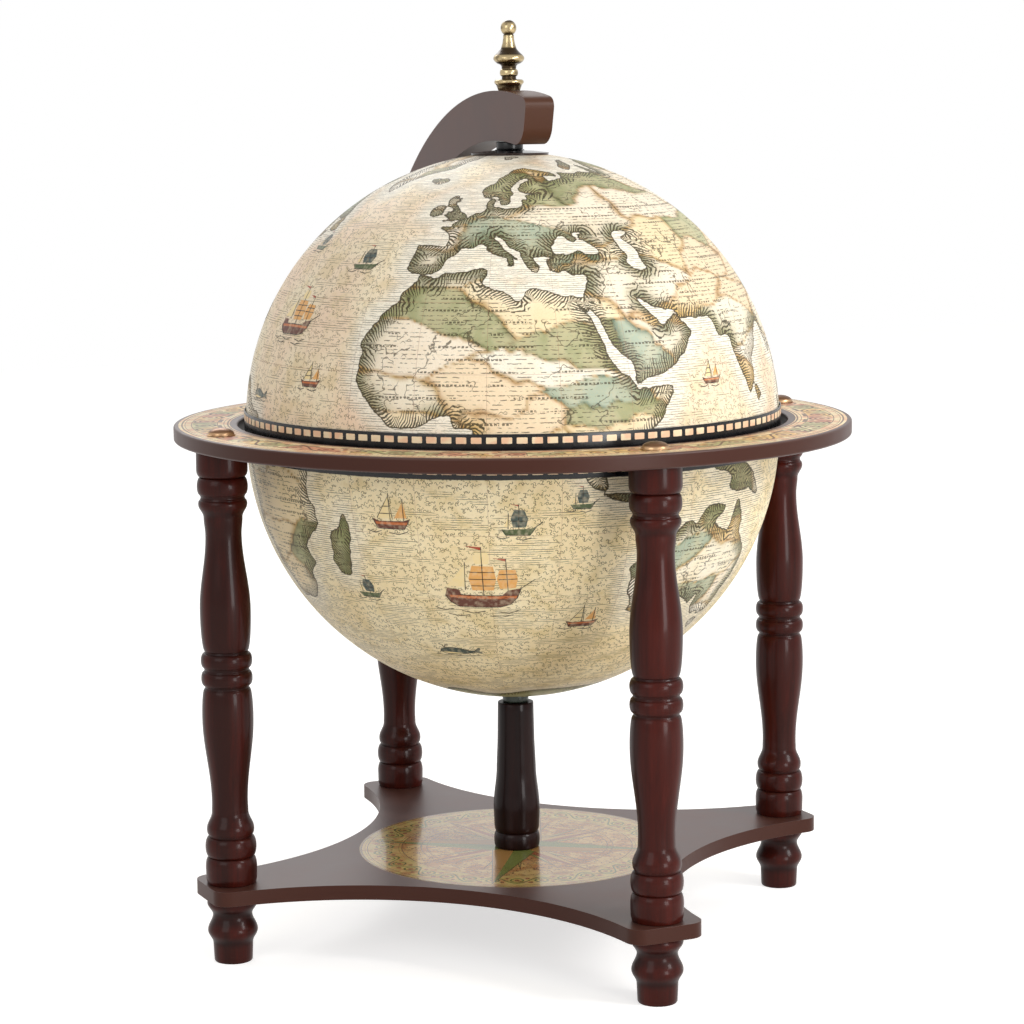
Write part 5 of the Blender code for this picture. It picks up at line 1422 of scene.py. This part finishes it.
def buildPole():
    facts = poleFacts
    bore, ball, seat = (facts[name] * mm for name in ("bore", "ball", "seat"))
    low, high, middle, size = sizeOf("finial")
    height = size.z + seat
    points = [(ball * sin(a), height - ball + ball * cos(a)) for a in np.linspace(0.15, 2.5, 16)]
    points += outline(turnedFacts["finial"], height, size.x / 2, 3)
    keep("brassFinial", turned("brassFinial", points, 48, low.z - seat, facts["near"]), brass, "lid",
         "antique_brass", ["finial"])
    for name, node, finish, body in (("poleCollar", "pole_collar", bandPlastic, "lid"),
                                     ("columnCollar", "column_collar", collarPlastic, "stand")):
        low, high, middle, size = sizeOf(node)
        profile = ringOutline(bore, high.x, low.z, high.z, facts["collarEdge"] * mm, 3)
        keepRing(name, profile, 48, finish, body, "black_plastic", [node])
    low, high, middle, size = sizeOf("pole_plate")
    over, under = high.z - domeCentre.z, (globeFacts["radius"] + facts["proud"]) * mm
    angles = np.linspace(asin(bore / over), asin(high.x / over), 9)
    profile = [(r * sin(a), domeCentre.z + r * cos(a)) for r, row in ((over, angles), (under, angles[::-1]))
               for a in row]
    keepRing("poleDisc", profile, 64, discPaint, "dome", "lacquered_wood", ["pole_plate"])
    (inside, outside), (above, below) = facts["washer"], facts["washerGaps"]
    floor, ceiling = high.z + above * mm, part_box("pole_collar")[0].z - below * mm
    washer = [(bore, floor), (outside * mm, floor - facts["washerFall"] * mm), (inside * mm, ceiling),
              (bore, ceiling)]
    keepRing("poleWasher", washer, 48, bandPlastic, "dome", "black_plastic")


capFacts = {    # shares of the cap's radius and height
    "dome": (0.93, 0.12),    # how wide it is, and where it starts
    "lip": [(0.96, 0.13), (1, 0.08), (1, 0)],
}


def buildCaps():
    low, high, middle, size = sizeOf("screw_cap_front")
    radius, height = size.x / 2, size.z
    wide, start = capFacts["dome"]
    points = [(radius * sin(a) * wide, height * (start + (1 - start) * cos(a))) for a in np.linspace(0.08, pi / 2, 12)]
    points += [(radius * across, height * up) for across, up in capFacts["lip"]]
    values = {"Count": 3, "Radius": abs(middle.y), "Start": -pi, "Step": pi / 2}
    caps = copiesAround("screwCaps", turned("cap", points, 40, low.z), values, capBrass)
    keep("screwCaps", caps, capBrass, "stand", "antique_brass", ["screw_cap_" + n for n in sides if n != "back"])


sides = ("front", "right", "back", "left")
setCamera()
setLight()
setFloor()
print("camera, light and floor are set")

legWood = mahoganyLacquer("beech_mahogany_lacquer", "#290d08", "#3f120b", "#4f1a12")
columnWood = mahoganyLacquer("beech_dark_lacquer", "#150706", "#1e0a08", "#28100c")
# the last colour of each brown paint is painted shade on the cut edges, where they are marked
boardPaint = brownPaint("fibreboard_satin_paint", "#3f231b", "#482a22", "#3e2017")
armPaint = brownPaint("fibreboard_arm_paint", "#44261c", "#4e2f25", "#472a1c")
discPaint = brownPaint("disc_gloss_paint", "#1f110e", "#2a1814", "#2f1712", (0.08, 0.14))
brass = agedBrass("brass_cast_darkened", "#b5a27c", "#2a1e14")
capBrass = agedBrass("brass_pressed_darkened", "#c6a27c", "#6c4c36", (0.3, 0.42))
bandPlastic = blackPlastic("abs_moulded_black", "#0e0e10", "#161618")
collarPlastic = blackPlastic("abs_moulded_green_black", "#1f2620", "#2b332b")
steel = platedSteel("steel_zinc_plated")
squarePaper = creamPrint("paper_squares_printed")
upperMap = mapPaper("paper_map_engraved_upper", "#eee0c2", "#ecd3b8", "#ddc9a2", 0.85, 0.85)
lowerMap = mapPaper("paper_map_engraved_lower", "#f3e4be", "#edd9ad", "#dec893", 1.0, 0.5)
lining = liningPaper("paper_lining_aged")
drawingPaint = printPaint("paper_drawings_printed")
ringPaper = ringPaperPrint("paper_ring_print_varnished")
shelfPaper = compassPrint("paper_compass_print_varnished")
insideWood = mahoganyLacquer("plywood_bar_lacquer", "#4a2615", "#6a3d22", "#8a5832", (0.03, 1, 1))
copyTree = aroundTree()
print("finishes are made")

domeCentre = Vector((0, 0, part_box("dome_shell")[0].z + globeFacts["rim"] * mm))
bowlCentre = Vector((0, 0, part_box("bowl_shell")[1].z - globeFacts["rim"] * mm))
for build in (buildWood, buildRing, buildShelf, buildArm, buildPole, buildCaps, buildBar):
    build()
print("wood, boards and brass are made")

buildHalf("upperGlobe", "dome_shell", domeCentre, True, mapFacts["domeLongitude"], [upperMap, lining], "dome")
buildHalf("lowerGlobe", "bowl_shell", bowlCentre, False, mapFacts["bowlLongitude"], [lowerMap, lining], "stand")
buildBand("upperBand", "dome_band", True, "dome")
buildBand("lowerBand", "bowl_band", False, "stand")
buildDrawings("upperDrawings", "upper", domeCentre, "dome")
buildDrawings("lowerDrawings", "lower", bowlCentre, "stand")
print("globe is made")

steelParts = ["column_bolt", "bowl_washer", "bowl_nut", "pole_washer", "pole_nut", "pole_bolt", "hinge_pin",
              *(kind + side for kind in ("leg_screw_", "foot_stud_") for side in sides)]
for node, finish in [(part, steel) for part in steelParts] + [("bottle_floor", insideWood)]:
    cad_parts[node].data.materials.clear()
    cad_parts[node].data.materials.append(finish)
for leaf, body in (("hinge_leaf_ring", "stand"), ("hinge_leaf_arm", "lid")):
    soften(leaf + "Soft", leaf, 0.3, capBrass, body, "antique_brass")
    for side in ("left", "right"):
        soften(leaf + "Screw" + side, leaf + "_screw_" + side, 0.2, capBrass, body, "antique_brass")
print("fittings are made")
